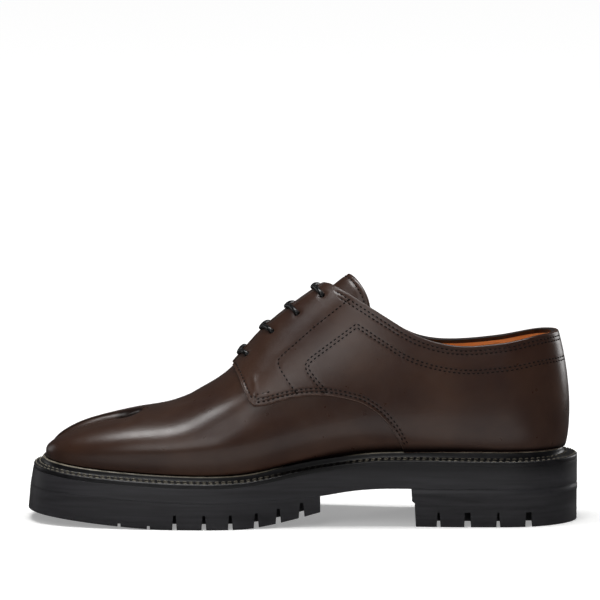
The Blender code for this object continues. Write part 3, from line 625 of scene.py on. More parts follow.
def cloudColour(tree, where, size, stops, detail=3.0):
    # colour that drifts between hex stops in clouds of a real size
    cloud = addNode(tree, "ShaderNodeTexNoise", {"Vector": where, "Scale": perMetre(size), "Detail": detail})
    ramp = addNode(tree, "ShaderNodeValToRGB", {"Fac": cloud.outputs["Fac"]})
    for element, (place, code) in zip(ramp.color_ramp.elements, (stops[0], stops[-1])):
        element.position, element.color = place, hexColour(code)
    for place, code in stops[1:-1]:
        ramp.color_ramp.elements.new(place).color = hexColour(code)
    return ramp.outputs["Color"]


calf = {
    "cloudSize": 42.0,        # mm, drift of the dye
    "poreSize": 0.55,         # mm
    "poreShare": 0.3,
    "creaseSize": 1.5,        # mm, faint draw of the grain
    "polishSize": 5.0,        # mm, patches of more and less gloss
    "bump": 0.24,
    # colour of the painted shade along the welt and inside the split
    "shadeColour": "#070404",
    "stops": ((0.3, "#2b1913"), (0.52, "#352219"), (0.72, "#3e2a20")),
    "roughLow": 0.22,
    "roughHigh": 0.4,
    "specular": 0.42,
    "coat": 0.1,
    "coatRoughness": 0.18,
}


def makeCalf():
    # plated and waxed calf: cloudy brown dye, fine pores, a soft broad gloss, and painted shade that goes black and
    # loses the gloss along the welt and inside the split
    finish, tree, shader, where = newMaterial("brownCalf")
    colour = cloudColour(tree, where, calf["cloudSize"], calf["stops"])
    # share of painted shade at each point: it darkens the dye and takes away the gloss
    darkTone = addNode(tree, "ShaderNodeAttribute", attribute_name="darkTone").outputs["Fac"]
    shadedColour = addNode(tree, "ShaderNodeMix", {0: darkTone, 6: colour, 7: hexColour(calf["shadeColour"])}, data_type="RGBA")
    shine = addNode(tree, "ShaderNodeMapRange", {"Value": darkTone, "To Min": calf["specular"], "To Max": 0.0})
    pores = addNode(tree, "ShaderNodeTexVoronoi", {"Vector": where, "Scale": perMetre(calf["poreSize"])})
    draw = addNode(tree, "ShaderNodeTexNoise", {"Vector": where, "Scale": perMetre(calf["creaseSize"]), "Detail": 4.0})
    both = addNode(tree, "ShaderNodeMath", {0: pores.outputs["Distance"], 1: calf["poreShare"],
                                            2: draw.outputs["Fac"]}, operation="MULTIPLY_ADD")
    bump = addNode(tree, "ShaderNodeBump", {"Strength": calf["bump"], "Distance": bumpDepth, "Height": both.outputs[0]})
    polish = addNode(tree, "ShaderNodeTexNoise", {"Vector": where, "Scale": perMetre(calf["polishSize"]),
                                                  "Detail": 5.0})
    rough = addNode(tree, "ShaderNodeMapRange", {"Value": polish.outputs["Fac"], "To Min": calf["roughLow"],
                                                 "To Max": calf["roughHigh"]})
    setInputs(tree, shader, {
        "Base Color": shadedColour.outputs[2], "Specular IOR Level": shine.outputs["Result"],
        "Normal": bump.outputs["Normal"], "Roughness": rough.outputs["Result"],
        "Coat Weight": calf["coat"], "Coat Roughness": calf["coatRoughness"]})
    return finish


def makePlain(name, cloudSize, dark, pale, roughness):
    # plain dyed leather, its shade drifting a little
    finish, tree, shader, where = newMaterial(name)
    colour = cloudColour(tree, where, cloudSize, ((0.35, dark), (0.65, pale)))
    setInputs(tree, shader, {"Base Color": colour, "Roughness": roughness})
    return finish


def makeLining():
    # tan lining calf: matt, softly grained, darker where it was glazed
    finish, tree, shader, where = newMaterial("tanLining")
    colour = cloudColour(tree, where, 14.0, ((0.3, "#dd934f"), (0.55, "#eaa765"), (0.75, "#f2b87b")))
    grain = addNode(tree, "ShaderNodeTexVoronoi", {"Vector": where, "Scale": perMetre(0.7)})
    bump = addNode(tree, "ShaderNodeBump", {"Strength": 0.2, "Distance": bumpDepth,
                                            "Height": grain.outputs["Distance"]})
    setInputs(tree, shader, {"Base Color": colour, "Normal": bump.outputs["Normal"], "Roughness": 0.52})
    return finish


rubber = {
    "stretch": (0.05, 0.05, 1.0),
    "streakSize": 1.6,        # mm
    "fineSize": 0.5,          # mm
    "stops": ((0.32, "#222124"), (0.7, "#2d2c30")),
    "darkRise": (0.026, 0.034),   # metres, heights over which the side grows darker towards the top, darkest beside the welt
    "darkTone": "#121114",
    "bump": 0.12,
    "roughLow": 0.42,
    "roughHigh": 0.58,
}


def makeRubber():
    # moulded black rubber: satin, with faint streaks along the side from buffing, and darker towards the top
    finish, tree, shader, where = newMaterial("blackRubber")
    stretch = addNode(tree, "ShaderNodeMapping", {"Vector": where, "Scale": rubber["stretch"]})
    streak = addNode(tree, "ShaderNodeTexNoise", {"Vector": stretch.outputs["Vector"],
                                                  "Scale": perMetre(rubber["streakSize"]), "Detail": 4.0})
    ramp = addNode(tree, "ShaderNodeValToRGB", {"Fac": streak.outputs["Fac"]})
    for element, (place, code) in zip(ramp.color_ramp.elements, rubber["stops"]):
        element.position, element.color = place, hexColour(code)
    parts = addNode(tree, "ShaderNodeSeparateXYZ", {"Vector": where})
    darkened = addNode(tree, "ShaderNodeMapRange", {"Value": parts.outputs["Z"], "From Min": rubber["darkRise"][0],
                                                 "From Max": rubber["darkRise"][1]}, interpolation_type="SMOOTHSTEP")
    tone = addNode(tree, "ShaderNodeMix", {0: darkened.outputs["Result"], 6: ramp.outputs["Color"],
                                           7: hexColour(rubber["darkTone"])}, data_type="RGBA")
    fine = addNode(tree, "ShaderNodeTexNoise", {"Vector": where, "Scale": perMetre(rubber["fineSize"]),
                                                "Detail": 2.0})
    both = addNode(tree, "ShaderNodeMath", {0: streak.outputs["Fac"], 1: fine.outputs["Fac"]}, operation="ADD")
    bump = addNode(tree, "ShaderNodeBump", {"Strength": rubber["bump"], "Distance": bumpDepth,
                                            "Height": both.outputs[0]})
    rough = addNode(tree, "ShaderNodeMapRange", {"Value": streak.outputs["Fac"], "To Min": rubber["roughLow"],
                                                 "To Max": rubber["roughHigh"]})
    setInputs(tree, shader, {"Base Color": tone.outputs[2], "Normal": bump.outputs["Normal"],
                             "Roughness": rough.outputs["Result"]})
    return finish


# where the painted shade under the arch lies
arch = {"middle": 0.006, "rise": (0.014, 0.034)}   # metres along the shoe


def archShade(tree, where, colour, dark):
    # painted shade: a colour gone dark under the arch, where the upper hangs over the welt
    parts = addNode(tree, "ShaderNodeSeparateXYZ", {"Vector": where})
    shift = addNode(tree, "ShaderNodeMath", {0: parts.outputs["X"], 1: -arch["middle"]}, operation="ADD")
    away = addNode(tree, "ShaderNodeMath", {0: shift.outputs[0]}, operation="ABSOLUTE")
    clear = addNode(tree, "ShaderNodeMapRange", {"Value": away.outputs[0], "From Min": arch["rise"][0],
                                                 "From Max": arch["rise"][1]}, interpolation_type="SMOOTHSTEP")
    tone = addNode(tree, "ShaderNodeMix", {0: clear.outputs["Result"], 6: hexColour(dark), 7: colour}, data_type="RGBA")
    return tone.outputs[2]


def makeWelting(name, dark, pale, roughness):
    # black dressed welting: waxed leather, close grain, with painted shade under the arch; called with pale colours it
    # gives the painted highlight, a thin pale line of gloss along the bead's crest
    finish, tree, shader, where = newMaterial(name)
    colour = archShade(tree, where, cloudColour(tree, where, 6.0, ((0.35, dark), (0.7, pale))), "#050405")
    grain = addNode(tree, "ShaderNodeTexNoise", {"Vector": where, "Scale": perMetre(0.6), "Detail": 3.0})
    bump = addNode(tree, "ShaderNodeBump", {"Strength": 0.15, "Distance": bumpDepth, "Height": grain.outputs["Fac"]})
    setInputs(tree, shader, {"Base Color": colour, "Normal": bump.outputs["Normal"], "Roughness": roughness})
    return finish


def makeThread(name, dark, pale, roughness, shaded):
    # waxed sewing thread, its twist drawn as a fine change of shade, and painted shade under the arch
    finish, tree, shader, where = newMaterial(name)
    colour = cloudColour(tree, where, 0.7, ((0.35, dark), (0.65, pale)), detail=1.0)
    setInputs(tree, shader, {"Base Color": archShade(tree, where, colour, shaded), "Roughness": roughness,
                             "Specular IOR Level": 0.2})
    return finish


def makeLaceCord():
    # round waxed cotton: black, close braid, dull sheen; the braid runs with the cord on its UV map
    finish, tree, shader, _ = newMaterial("waxedLace")
    uvMap = addNode(tree, "ShaderNodeUVMap", uv_map="cordMap")
    turn = addNode(tree, "ShaderNodeMapping", {"Vector": uvMap.outputs["UV"], "Rotation": (0, 0, math.radians(45))})
    braid = addNode(tree, "ShaderNodeTexChecker", {"Vector": turn.outputs["Vector"], "Scale": 1.0})
    bump = addNode(tree, "ShaderNodeBump", {"Strength": 0.35, "Distance": bumpDepth, "Height": braid.outputs["Fac"]})
    colour = addNode(tree, "ShaderNodeMix", {0: braid.outputs["Fac"], 6: hexColour("#060607"), 7: hexColour("#0d0d0e")},
                     data_type="RGBA")
    setInputs(tree, shader, {"Base Color": colour.outputs[2], "Normal": bump.outputs["Normal"], "Roughness": 0.27})
    return finish


calfFinish = makeCalf()
edgeFinish = makePlain("cutEdge", 1.2, "#33221b", "#4d3a30", 0.45)   # raw edge, paler than the grain side, partly a painted highlight on its rounded corner
liningFinish = makeLining()
rubberFinish = makeRubber()
weltFinish = makeWelting("blackWelting", "#0c0b0d", "#171619", 0.34)
# the bead's crest painted pale: a painted highlight along it
beadHighlightFinish = makeWelting("paintedBeadHighlight", "#6a6457", "#968e7e", 0.2)
bindingFinish = makePlain("collarBinding", 3.0, "#0e0a09", "#1a1310", 0.5)   # a dark line along the far topline
# the last colour of each thread is its painted shade under the arch
upperThread = makeThread("brownThread", "#0b0503", "#170c07", 0.7, "#0f0805")
weltThread = makeThread("weltThread", "#5f5b51", "#868073", 0.6, "#12100d")
laceFinish = makeLaceCord()
print("materials made")


# Upper: one wall over the last, brown outside, tan lining inside
vamp = {
    "heelRows": 34,
    "middleRows": 96,
    "toeRows": 126,
    "wallColumns": 5,
    "tuckColumns": 14,
    "crownColumns": 56,
    "crownGrade": 1.5,
    "toeGrade": 1.5,
    "troughs": (   # creases, listed one by one: depth and width, then along, across and height down the crease
        (-0.55, 5.0, ((221, -2, 64.0), (206, -13, 67.0), (193, -22, 70.0), (181, -30, 72.5))),
        (-0.5, 5.5, ((205, -40, 50.5), (190, -38, 55.5), (172, -35, 60.5), (157, -33, 63.5), (143, -31, 67.0))),
        (0.35, 6.5, ((214, -30, 56.5), (195, -30, 63.0), (178, -30, 68.5))),
        (-0.45, 5.0, ((221, 8, 64.0), (205, 19, 66.0), (192, 28, 69.0))),
        (-0.4, 6.0, ((204, 50, 48.5), (186, 46, 55.0), (166, 41, 61.0))),
    ),
    "creaseSamples": 60,
    "creaseEnds": (0.02, 0.98),
    "creaseFade": 0.6,
    "bindingDepth": 2.4,
    "throatRow": 0.2,   # extra row of points this far behind the throat's end
    "shadeHeight": ((0, 42, 69, 97, 124, 151, 179, 206, 233, 255, 300),   # along, then how far the painted shade climbs
                  (3.6, 3.4, 5.5, 6.0, 7.0, 3.2, 2.8, 1.2, 1.3, 1.5, 1.6)),
    "splitRimHeight": 0.55,
    "splitRimWidth": 0.7,
    "splitRimReach": 3.2,
    "splitRimLength": 0.35,     # the rim is drawn out along the split by the inverse of this
    "splitRimStraight": (1.0, 3.0),   # past the split's end, where the rim runs straight
    "splitRimRise": (-8.0, -2.0),
    "splitRimFall": (6.0, 14.0),
    "shadeSolid": 0.2,            # share of the painted shade's height that stays black
    "hollowRise": (0.3, 1.5),   # painted shade inside the split, by distance beside it
    "hollowFall": (5.5, 8.5),
    "hollowLowest": 44.0,
    "hollowEnd": ((236, 239), (249, 254)),
    "hollowWall": (4.4, 5.6),
    # strength of the painted shade near the split's end, and on its wall further forward
    "endShade": 0.75,
    "wallShade": 0.6,
    "mergeDistance": 2e-5,      # metres, joins the two sides along the ridge
    "reliefRise": (0.0, 0.25),  # girth over which creases and rim set in
    "sharp": 50,
}


def handCreases(points):
    # soft troughs and ridges: a bell of the distance to each crease, fading at its ends
    height = np.zeros(points.shape[:-1])
    for depth, width, path in vamp["troughs"]:
        path = np.array(path, float)
        share = np.linspace(0, 1, len(path))
        fine = np.linspace(0, 1, vamp["creaseSamples"])
        line = alongPath(fine, share, path)
        reach = 3 * width
        low, high = line.min(0) - reach, line.max(0) + reach
        near = ((points > low) & (points < high)).all(-1)
        square = squaresTo(points[near], line)
        closest = square.argmin(1)
        fade = np.sin(np.pi * np.clip(fine[closest], *vamp["creaseEnds"])) ** vamp["creaseFade"]
        height[near] += depth * fade * np.exp(-np.maximum(square.min(1), 0) / width ** 2)
    return height


def splitRim(points):
    # raised rim round the closed end of the split
    along, across, _ = np.moveaxis(points, -1, 0)
    past = along - split["end"]
    behind = np.minimum(past - vamp["splitRimStraight"][0], 0)
    ahead = np.maximum(past - vamp["splitRimStraight"][1], 0) * vamp["splitRimLength"]
    away = np.sqrt(ahead ** 2 + behind ** 2 + (across - last("ridgeSide", along)) ** 2)
    ring = np.exp(-((away - vamp["splitRimReach"]) / vamp["splitRimWidth"]) ** 2)
    return vamp["splitRimHeight"] * ring * window(vamp["splitRimRise"], vamp["splitRimFall"], past)


def throatGap(along):
    # half gap of the throat, rounded off to nothing at its front end
    back = np.clip((facing["throatEnd"] - along) / facing["throatRound"], 0, 1)
    return facing["throatHalfGap"] * np.sqrt(back)


def makeUpper():
    # two grids over the last, one a side, joined at the ridge, thickened inwards and cut at the eyelets
    heel = np.linspace(-1, 0, vamp["heelRows"], endpoint=False)
    middle = np.linspace(0, 1, vamp["middleRows"], endpoint=False)
    toe = 2 - (1 - np.linspace(0, 1, vamp["toeRows"])) ** vamp["toeGrade"]
    stations = np.sort(np.concatenate((heel, middle, toe, stationOf([facing["throatEnd"] - vamp["throatRow"]]))))
    wall = np.concatenate((np.linspace(-2, -1, vamp["wallColumns"], endpoint=False),
                           np.linspace(-1, 0, vamp["tuckColumns"], endpoint=False)))
    crown = 1 - (1 - np.linspace(0, 1, vamp["crownColumns"])) ** vamp["crownGrade"]
    along = ridgeLine(stations)[:, 0]
    points, faces, bound, start = [], [], [], 0
    for side in sideSign:
        top = np.where(along >= facing["throatEnd"], 1.0, topGirth(side, stations, throatGap(along)))
        girth = np.concatenate((np.repeat(wall[None], len(stations), 0), top[:, None] * crown[None]), axis=1)
        base = upperPoint(side, stations[:, None], girth)
        normal = upperNormal(side, stations[:, None] + 0 * girth, girth)
        relief = handCreases(base) + splitRim(base)
        patch = base + normal * (relief * smoothStep(*vamp["reliefRise"], girth))[..., None]
        block = gridFaces(*patch.shape[:2], start=start)
        faces.append(block if side == "lateral" else block[:, ::-1])
        points.append(patch.reshape(-1, 3))
        collar = distanceTo(patch[:-1, :-1], patch[along < facing["top"], -1]) < vamp["bindingDepth"]
        bound.append(np.where(collar, 2, 0).ravel())
        start += patch.shape[0] * patch.shape[1]
    piece = addPiece("upperLeather", np.concatenate(points), np.concatenate(faces),
                     [calfFinish, liningFinish, bindingFinish, bindingFinish], np.concatenate(bound),
                     merge=vamp["mergeDistance"])
    wallShell = piece.modifiers.new("wall", "SOLIDIFY")
    wallShell.thickness = shoe["wall"] / 1000
    wallShell.offset = -1
    wallShell.material_offset = 1
    wallShell.use_rim = True
    cutAway(piece, *joinGrids([eyeletCores(side) for side in sideSign]), vamp["sharp"])
    # painted shade along the welt and inside the split
    addPaintedShade(piece)
    settle(piece, "brown_calf", "upper")


def addPaintedShade(piece):
    # how much painted shade each point of the leather takes: wholly at the welt, fading out over a height set
    # along the shoe, and inside the split but for a thin line of light
    spots = np.empty(len(piece.data.vertices) * 3, np.float32)
    piece.data.vertices.foreach_get("co", spots)
    spots = spots.reshape(-1, 3) * 1000.0
    along = np.clip(shoe["soleLength"] / 2 - spots[:, 0], 0, shoe["topLength"])
    climb = np.interp(along, *vamp["shadeHeight"])
    above = spots[:, 2] - level("edge", along) - level("bead", along)
    foot = 1 - smoothStep(vamp["shadeSolid"] * climb, climb, above)
    beside = spots[:, 1] + centreSide - last("ridgeSide", along)
    hollow = window(vamp["hollowRise"], vamp["hollowFall"], beside) * (spots[:, 2] > vamp["hollowLowest"])
    end = vamp["endShade"] * window(*vamp["hollowEnd"], along)
    wall = vamp["wallShade"] * smoothStep(*vamp["hollowEnd"][1], along) * smoothStep(*vamp["hollowWall"], beside)
    darkTone = piece.data.attributes.new("darkTone", "FLOAT", "POINT")
    darkTone.data.foreach_set("value", np.maximum(foot, hollow * np.maximum(end, wall)).astype(np.float32))


def eyeletSpots(side):
    # station and girth of a row of eyelets
    station = stationOf(np.array(facing["eyeletAlong"]))
    return station, girthFromRidge(side, station, np.array(facing["eyeletFromRidge"]))


def eyeletCores(side):
    # round bars through a row of eyelets, square to the leather
    station, girth = eyeletSpots(side)
    middle, normal = upperPoint(side, station, girth), upperNormal(side, station, girth)
    parts = []
    for place, out in zip(middle, normal):
        path = place + out * (np.array([-1.0, 0.0, 1.0]) * facing["eyeletReach"])[:, None]
        hint = np.broadcast_to([1.0, 0.2, 0.1], path.shape)
        rings = tubeGrid(path, facing["eyeletRadius"], facing["eyeletSides"], hint)
        parts.append((rings.reshape(-1, 3), tubeFaces(*rings.shape[:2])))
    return joinGrids(parts)


def cutAway(piece, points, faces, sharp):
    # the piece less some blocks, with its modifiers and the Boolean applied
    cutter = addPiece(piece.name + "Cutter", points, faces, [], recalc=True)
    cutting = piece.modifiers.new("cut", "BOOLEAN")
    cutting.operation = "DIFFERENCE"
    cutting.solver = "EXACT"
    cutting.object = cutter
    bpy.context.view_layer.update()
    done = bpy.data.meshes.new_from_object(piece.evaluated_get(bpy.context.evaluated_depsgraph_get()))
    piece.modifiers.clear()
    old = piece.data
    piece.data = done
    bpy.data.meshes.remove(old)
    bpy.data.objects.remove(cutter)
    done.name = piece.name
    done.shade_smooth()
    done.set_sharp_from_angle(angle=math.radians(sharp))


makeUpper()
print("upper made")


# Quarters: lapped over the upper, cut edge in front, rolled collar, double stitching
quarter = {
    "heelRows": 62,
    "sideRows": 150,
    "frontRows": 56,
    "columns": 148,
    "endGrade": 0.72,
    "corner": 176.0,
    "frontBend": 1.9,
    "frontReach": 0.93,
    "footRise": 0.8,
    "inside": 0.12,
    "thickness": 1.85,
    "edgeRound": 0.5,
    "collarRound": 1.1,
    "cornerSoften": 1.0,
    "edgeRows": (1.8, 3.5),
    "collarRows": (2.7, 4.6),
    "frontRow": 2.0,
    "tackRow": 6.2,
    "liningRows": (0.0, 1.7),
    "liningDrop": ((0, 60, 124), (13.8, 12.9, 11.2)),   # below the topline, by place along
    "edgeGroove": 0.26,
    "grooveDepth": 0.12,
    "grooveWidth": 0.75,
    "pitch": 2.65,
    "stitchLength": 1.75,
    "stitchRadius": 0.38,
    "eyeletDip": 0.3,           # leather pressed in by the lace
    "dipRadius": 2.6,
    "lowerEnds": (0.6, 1.2),    # how far rows stop short of the ends of their edges
    "frontEnds": (2.6, 0.4),
    "tackRun": (10.5, 0.5),     # behind the front corner
    "rowSamples": (380, 120, 60, 30),   # lower, front and tack rows and the short one that joins them
    "collarSamples": 620,
    "seamSamples": 260,
    "seamBell": 23,             # samples in each mean
    "seamHead": 90,             # samples from the top in which a seam meets the row above it
    "seamDrop": (85.0, 120.0),  # heights over which a seam follows the lower outer topline
    "rowStart": 0.4,
    "collarEnd": 134.0,
    "liningEnd": 124.0,
    "cornerRun": 4.0,           # behind the front corner, with closer rows from there on
    "heelStart": 0.1,
    "cutEdgeShare": 0.55,       # thickness left at the cut edge and at the collar
    "collarShare": 0.35,
    "leastThickness": 0.12,
    "leastGirth": 0.004,
    "paleEdgeWidth": 0.5,             # width of the pale cut edge, partly a painted highlight
    "stitchLift": 0.1,
    "backGap": 0.15,            # from the middle of the heel
    "sharp": 50,
    "softRise": (-8.0, -4.0),   # run beside the front corner over which it is rounded
    "softFall": (3.0, 6.0),
    "pillows": (   # leather pushed up between rows: along, height, half sizes and rise
        (171.0, 71.6, 4.6, 1.3, 0.4),
        (175.6, 77.0, 1.6, 3.2, 0.3),
    ),
}
# seam that closes the lining behind the facing, from the collar seam down to the lower edge
liningSeam = np.array(((118.0, 111.4), (133.2, 100.6), (146.0, 91.4), (148.4, 89.0), (148.8, 86.5), (148.0, 83.9),
                       (143.6, 78.6), (138.0, 72.6)))
# seam along the eyelets, from the collar down to the lower edge
facingSeam = np.array(((123.6, 122.4), (143.2, 107.3), (161.2, 91.8), (163.0, 89.9), (163.2, 87.9), (162.0, 84.9),
                       (158.0, 78.6), (153.4, 72.6)))


def quarterLow(side, along):
    # girth of the lower edge: just above the welt behind, over the vamp in front, then up the front edge
    station = stationAlong(along)
    foot = ribFrame(side, station)[4]
    lowest = foot + quarter["footRise"]
    height = np.where(along < quarterTable["along"][0], lowest,
                      np.maximum(spline(quarterTable, "height", along), lowest))
    girth = girthAtHeight(side, station, height)
    climb = np.clip((along - quarter["corner"]) / (facing["front"] - quarter["corner"]), 0, 1)
    edge = girthFromRidge(side, station, facing["halfGap"])
    start = girthAtHeight(side, station, quarterTable["height"][-1] + 0 * along)
    climbed = start + (edge - start) * quarter["frontReach"] * climb ** quarter["frontBend"]
    return np.where(along > quarter["corner"], climbed, girth)


def stationAlong(along):
    # station at a place along the sole's edge, behind the toe centre
    heel = -np.arcsin(np.clip((shoe["heelCentre"] - along) / shoe["heelCentre"], 0, 1)) / (np.pi / 2)
    return np.where(along < shoe["heelCentre"], heel, stationOf(along))


def softLow(side, along):
    # lower edge with its front corner rounded, by averaging over a short run
    near = window(quarter["softRise"], quarter["softFall"], along - quarter["corner"])
    shifts = np.linspace(-1, 1, 9) * quarter["cornerSoften"]
    mean = np.mean([quarterLow(side, np.minimum(along + shift, facing["front"])) for shift in shifts], axis=0)
    return quarterLow(side, along) * (1 - near) + mean * near


def quarterHigh(side, along):
    # girth of the upper edge, its front end rounded down towards the front edge
    rounding = np.clip((along - (facing["front"] - facing["frontRound"])) / facing["frontRound"], 0, 1)
    gap = facing["halfGap"] + facing["frontDrop"] * rounding ** facing["frontBend"]
    return topGirth(side, stationAlong(along), gap)


def besideEdge(side, along, girth, distance):
    # line at a distance inside an edge: a step square to the edge within the leather, towards higher girth
    station = stationAlong(along)
    edge = upperPoint(side, station, girth)
    normal = upperNormal(side, station, girth)
    inside = unit(np.cross(normal, unit(np.gradient(edge, axis=0))))
    higher = upperSlopes(side, station, girth)[1]
    inside = inside * np.sign((inside * higher).sum(-1, keepdims=True))
    return walkOnUpper(side, station, girth, inside * distance)


def seamLine(side, table, shift):
    # seam through given along and height pairs, smoothed by a bell-weighted mean and moved sideways by a shift
    share = runOf(table)
    fine = np.linspace(0, share[-1], quarter["seamSamples"])
    bell = np.hanning(quarter["seamBell"])
    along, height = (np.convolve(np.pad(np.interp(fine, share, column), len(bell) // 2, mode="edge"),
                                 bell / bell.sum(), "valid") for column in table.T)
    drop = spline(collarTable, "medial", along) - spline(collarTable, side, along)
    height = height - drop * smoothStep(*quarter["seamDrop"], height)
    slopeAlong, slopeHeight = np.gradient(along), np.gradient(height)
    length = np.hypot(slopeAlong, slopeHeight)
    return along + shift * slopeHeight / length, height - shift * slopeAlong / length


def underCollar(side, drop, distance, fromAlong, toAlong):
    # line below the topline, by a drop that changes along it and a distance more, measured square to it
    along = np.linspace(fromAlong, toAlong, quarter["collarSamples"])
    height = spline(collarTable, side, along)
    slope = np.gradient(height, along)
    return along, height - (np.interp(along, *drop) + distance) * np.sqrt(1 + slope ** 2)


def onRibs(side, along, height):
    # station and girth of places given by along and height
    station = stationAlong(along)
    return station, girthAtHeight(side, station, height)


def quarterSeams(side):
    # every stitched line of a quarter as station and girth
    lines = []
    corner, (lowFrom, lowTo) = quarter["corner"], quarter["lowerEnds"]
    lowerCount, frontCount, tackCount, joinCount = quarter["rowSamples"]
    lower = np.linspace(quarterTable["along"][0] + lowFrom, corner - lowTo, lowerCount)
    for distance in quarter["edgeRows"]:
        lines.append(besideEdge(side, lower, softLow(side, lower), distance))
    front = np.linspace(corner + quarter["frontEnds"][0], facing["front"] - quarter["frontEnds"][1], frontCount)
    lines.append(besideEdge(side, front, softLow(side, front), quarter["frontRow"]))
    tack = np.linspace(corner - quarter["tackRun"][0], corner - quarter["tackRun"][1], tackCount)
    edgeRow, tackRow = (besideEdge(side, tack, softLow(side, tack), distance)
                        for distance in (quarter["edgeRows"][1], quarter["tackRow"]))
    lines.append(tackRow)
    share = np.linspace(0, 1, joinCount)
    lines.append(tuple(low[-1] + (high[-1] - low[-1]) * share for low, high in zip(edgeRow, tackRow)))
    for distance in quarter["collarRows"]:
        lines.append(onRibs(side, *underCollar(side, ((0, 1), (0, 0)), distance, quarter["rowStart"],
                                               quarter["collarEnd"] - distance)))
    for distance in quarter["liningRows"]:
        seamAlong, seamHeight = seamLine(side, liningSeam, distance)
        rowAlong, rowHeight = underCollar(side, quarter["liningDrop"], distance, quarter["rowStart"],
                                          quarter["liningEnd"])
        head = slice(quarter["seamHead"])
        above = rowHeight > np.interp(rowAlong, seamAlong[head], seamHeight[head])
        meet = rowAlong[np.argmax(above & (rowAlong > seamAlong[0]))]
        row, seam = rowAlong <= meet, np.maximum.accumulate(seamAlong >= meet)
        lines.append(onRibs(side, rowAlong[row], rowHeight[row]))
        lines.append(onRibs(side, seamAlong[seam], seamHeight[seam]))
    lines.append(onRibs(side, *seamLine(side, facingSeam, 0.0)))
    return lines


def makeQuarter(side):
    # shell between the lower and upper edges, rounded at its edges, pressed in along its seams and cut at the eyelets
    centre = shoe["heelCentre"]
    turn = np.arcsin(1 - quarter["heelStart"] / centre)
    heel = centre - centre * np.sin(np.linspace(turn, 0, quarter["heelRows"], endpoint=False))
    fore = quarter["corner"] - quarter["cornerRun"]
    sideRun = np.linspace(centre, fore, quarter["sideRows"], endpoint=False)
    front = np.linspace(fore, facing["front"], quarter["frontRows"])
    along = np.concatenate((heel, sideRun, front))
    station = stationAlong(along)
    station[0] = -1 + quarter["backGap"] / (centre * np.pi / 2)
    even = np.linspace(0, 1, quarter["columns"])
    share = even - quarter["endGrade"] * np.sin(2 * np.pi * even) / (2 * np.pi)
    low, high = softLow(side, along), quarterHigh(side, along)
    girth = low[:, None] + (np.maximum(high, low + quarter["leastGirth"]) - low)[:, None] * share[None]
    spread = np.broadcast_to(station[:, None], girth.shape)
    base = upperPoint(side, spread, girth)
    normal = upperNormal(side, spread, girth)
    cutLine = np.concatenate((base[:, 0], base[-1]))
    topLine = base[:, -1]
    toCut, toTop = distanceTo(base, cutLine), distanceTo(base, topLine)
    cutShare, collarShare = quarter["cutEdgeShare"], quarter["collarShare"]
    body = quarter["thickness"] * (cutShare + (1 - cutShare) * quarterRound(toCut, quarter["edgeRound"]))
    body = body * (collarShare + (1 - collarShare) * quarterRound(toTop, quarter["collarRound"]))
    seams = quarterSeams(side)
    grooves = [quarter["edgeGroove"] if number == 0 else quarter["grooveDepth"] for number in range(len(seams))]
    for (seamStation, seamGirth), groove in zip(seams, grooves):
        line = upperPoint(side, seamStation, seamGirth)
        body = body - groove * np.exp(-(distanceTo(base, line) / quarter["grooveWidth"]) ** 2)
    for along0, height0, reachAlong, reachUp, rise in quarter["pillows"]:
        square = ((base[..., 0] - along0) / reachAlong) ** 2 + ((base[..., 2] - height0) / reachUp) ** 2
        body = body + rise * np.exp(-square)
    holes = upperPoint(side, *eyeletSpots(side))
    body = body - quarter["eyeletDip"] * np.exp(-(distanceTo(base, holes) / quarter["dipRadius"]) ** 4)
    body = np.maximum(body, quarter["leastThickness"])
    outer = base + normal * (quarter["inside"] + body)[..., None]
    inner = base + normal * quarter["inside"]
    rows, count = girth.shape
    skins = shellFaces(rows, count)
    faces = np.concatenate(skins)
    # faces of the cut edge take the paler colour, partly a painted highlight
    edgeFace = (toCut[:-1, :-1] < quarter["paleEdgeWidth"]).reshape(-1)
    index = np.concatenate((edgeFace.astype(int), np.zeros(len(skins[1]), int), np.ones(len(skins[2]), int)))
    if side == "medial":
        faces = faces[:, ::-1]
    name = "quarter" + side.capitalize()
    piece = addPiece(name, np.concatenate((outer.reshape(-1, 3), inner.reshape(-1, 3))), faces,
                     [calfFinish, edgeFinish], index)
    cutAway(piece, *eyeletCores(side), quarter["sharp"])
    # painted shade along the welt
    addPaintedShade(piece)
    settle(piece, "brown_calf", "quarter_" + side)
    parts = []
    for (seamStation, seamGirth), groove in zip(seams, grooves):
        path = upperPoint(side, seamStation, seamGirth)
        lift = quarter["inside"] + quarter["thickness"] - groove + quarter["stitchLift"]
        parts.append(stitchRow(path, np.linspace(0, 1, len(path)), upperNormal(side, seamStation, seamGirth),
                               quarter["pitch"], quarter["stitchLength"], quarter["stitchRadius"], lift))
    points, stitchFaces = joinGrids(parts)
    stitches = addPiece("stitches" + side.capitalize(), points, stitchFaces, [upperThread])
    settle(stitches, "brown_calf")


for sideName in sideSign:
    makeQuarter(sideName)
print("quarters made")


# Tongue: under the facings, tip cut square to the instep
tongue = {
    "thickness": 2.0,
    "clearance": 1.2,
    "front": 200.0,
    "tip": 125.0,
    "frontHalfWidth": 13.0,
    "halfWidth": 22.0,
    "tipHalfWidth": 20.5,
    "wideFrom": 165.0,
    "narrowFrom": 140.0,
    "tipLean": {"medial": 13.5, "lateral": 7.0},
    "tipLift": 1.4,
    "liftFrom": 138.0,
    "leanBend": 1.3,
    "cornerRound": 0.15,
    "cornerBend": 8,
    "rows": 110,
    "columns": 50,
    "edgeRound": 0.8,
    "roundDepth": (0.7, 0.5),   # of the rim, from above and from below
    "stitchRow": 3.0,
    "stitchEnds": 4,            # columns left bare beside the rim
    "grooveDepth": 0.3,
    "grooveWidth": 0.7,
    "sharp": 50,
}


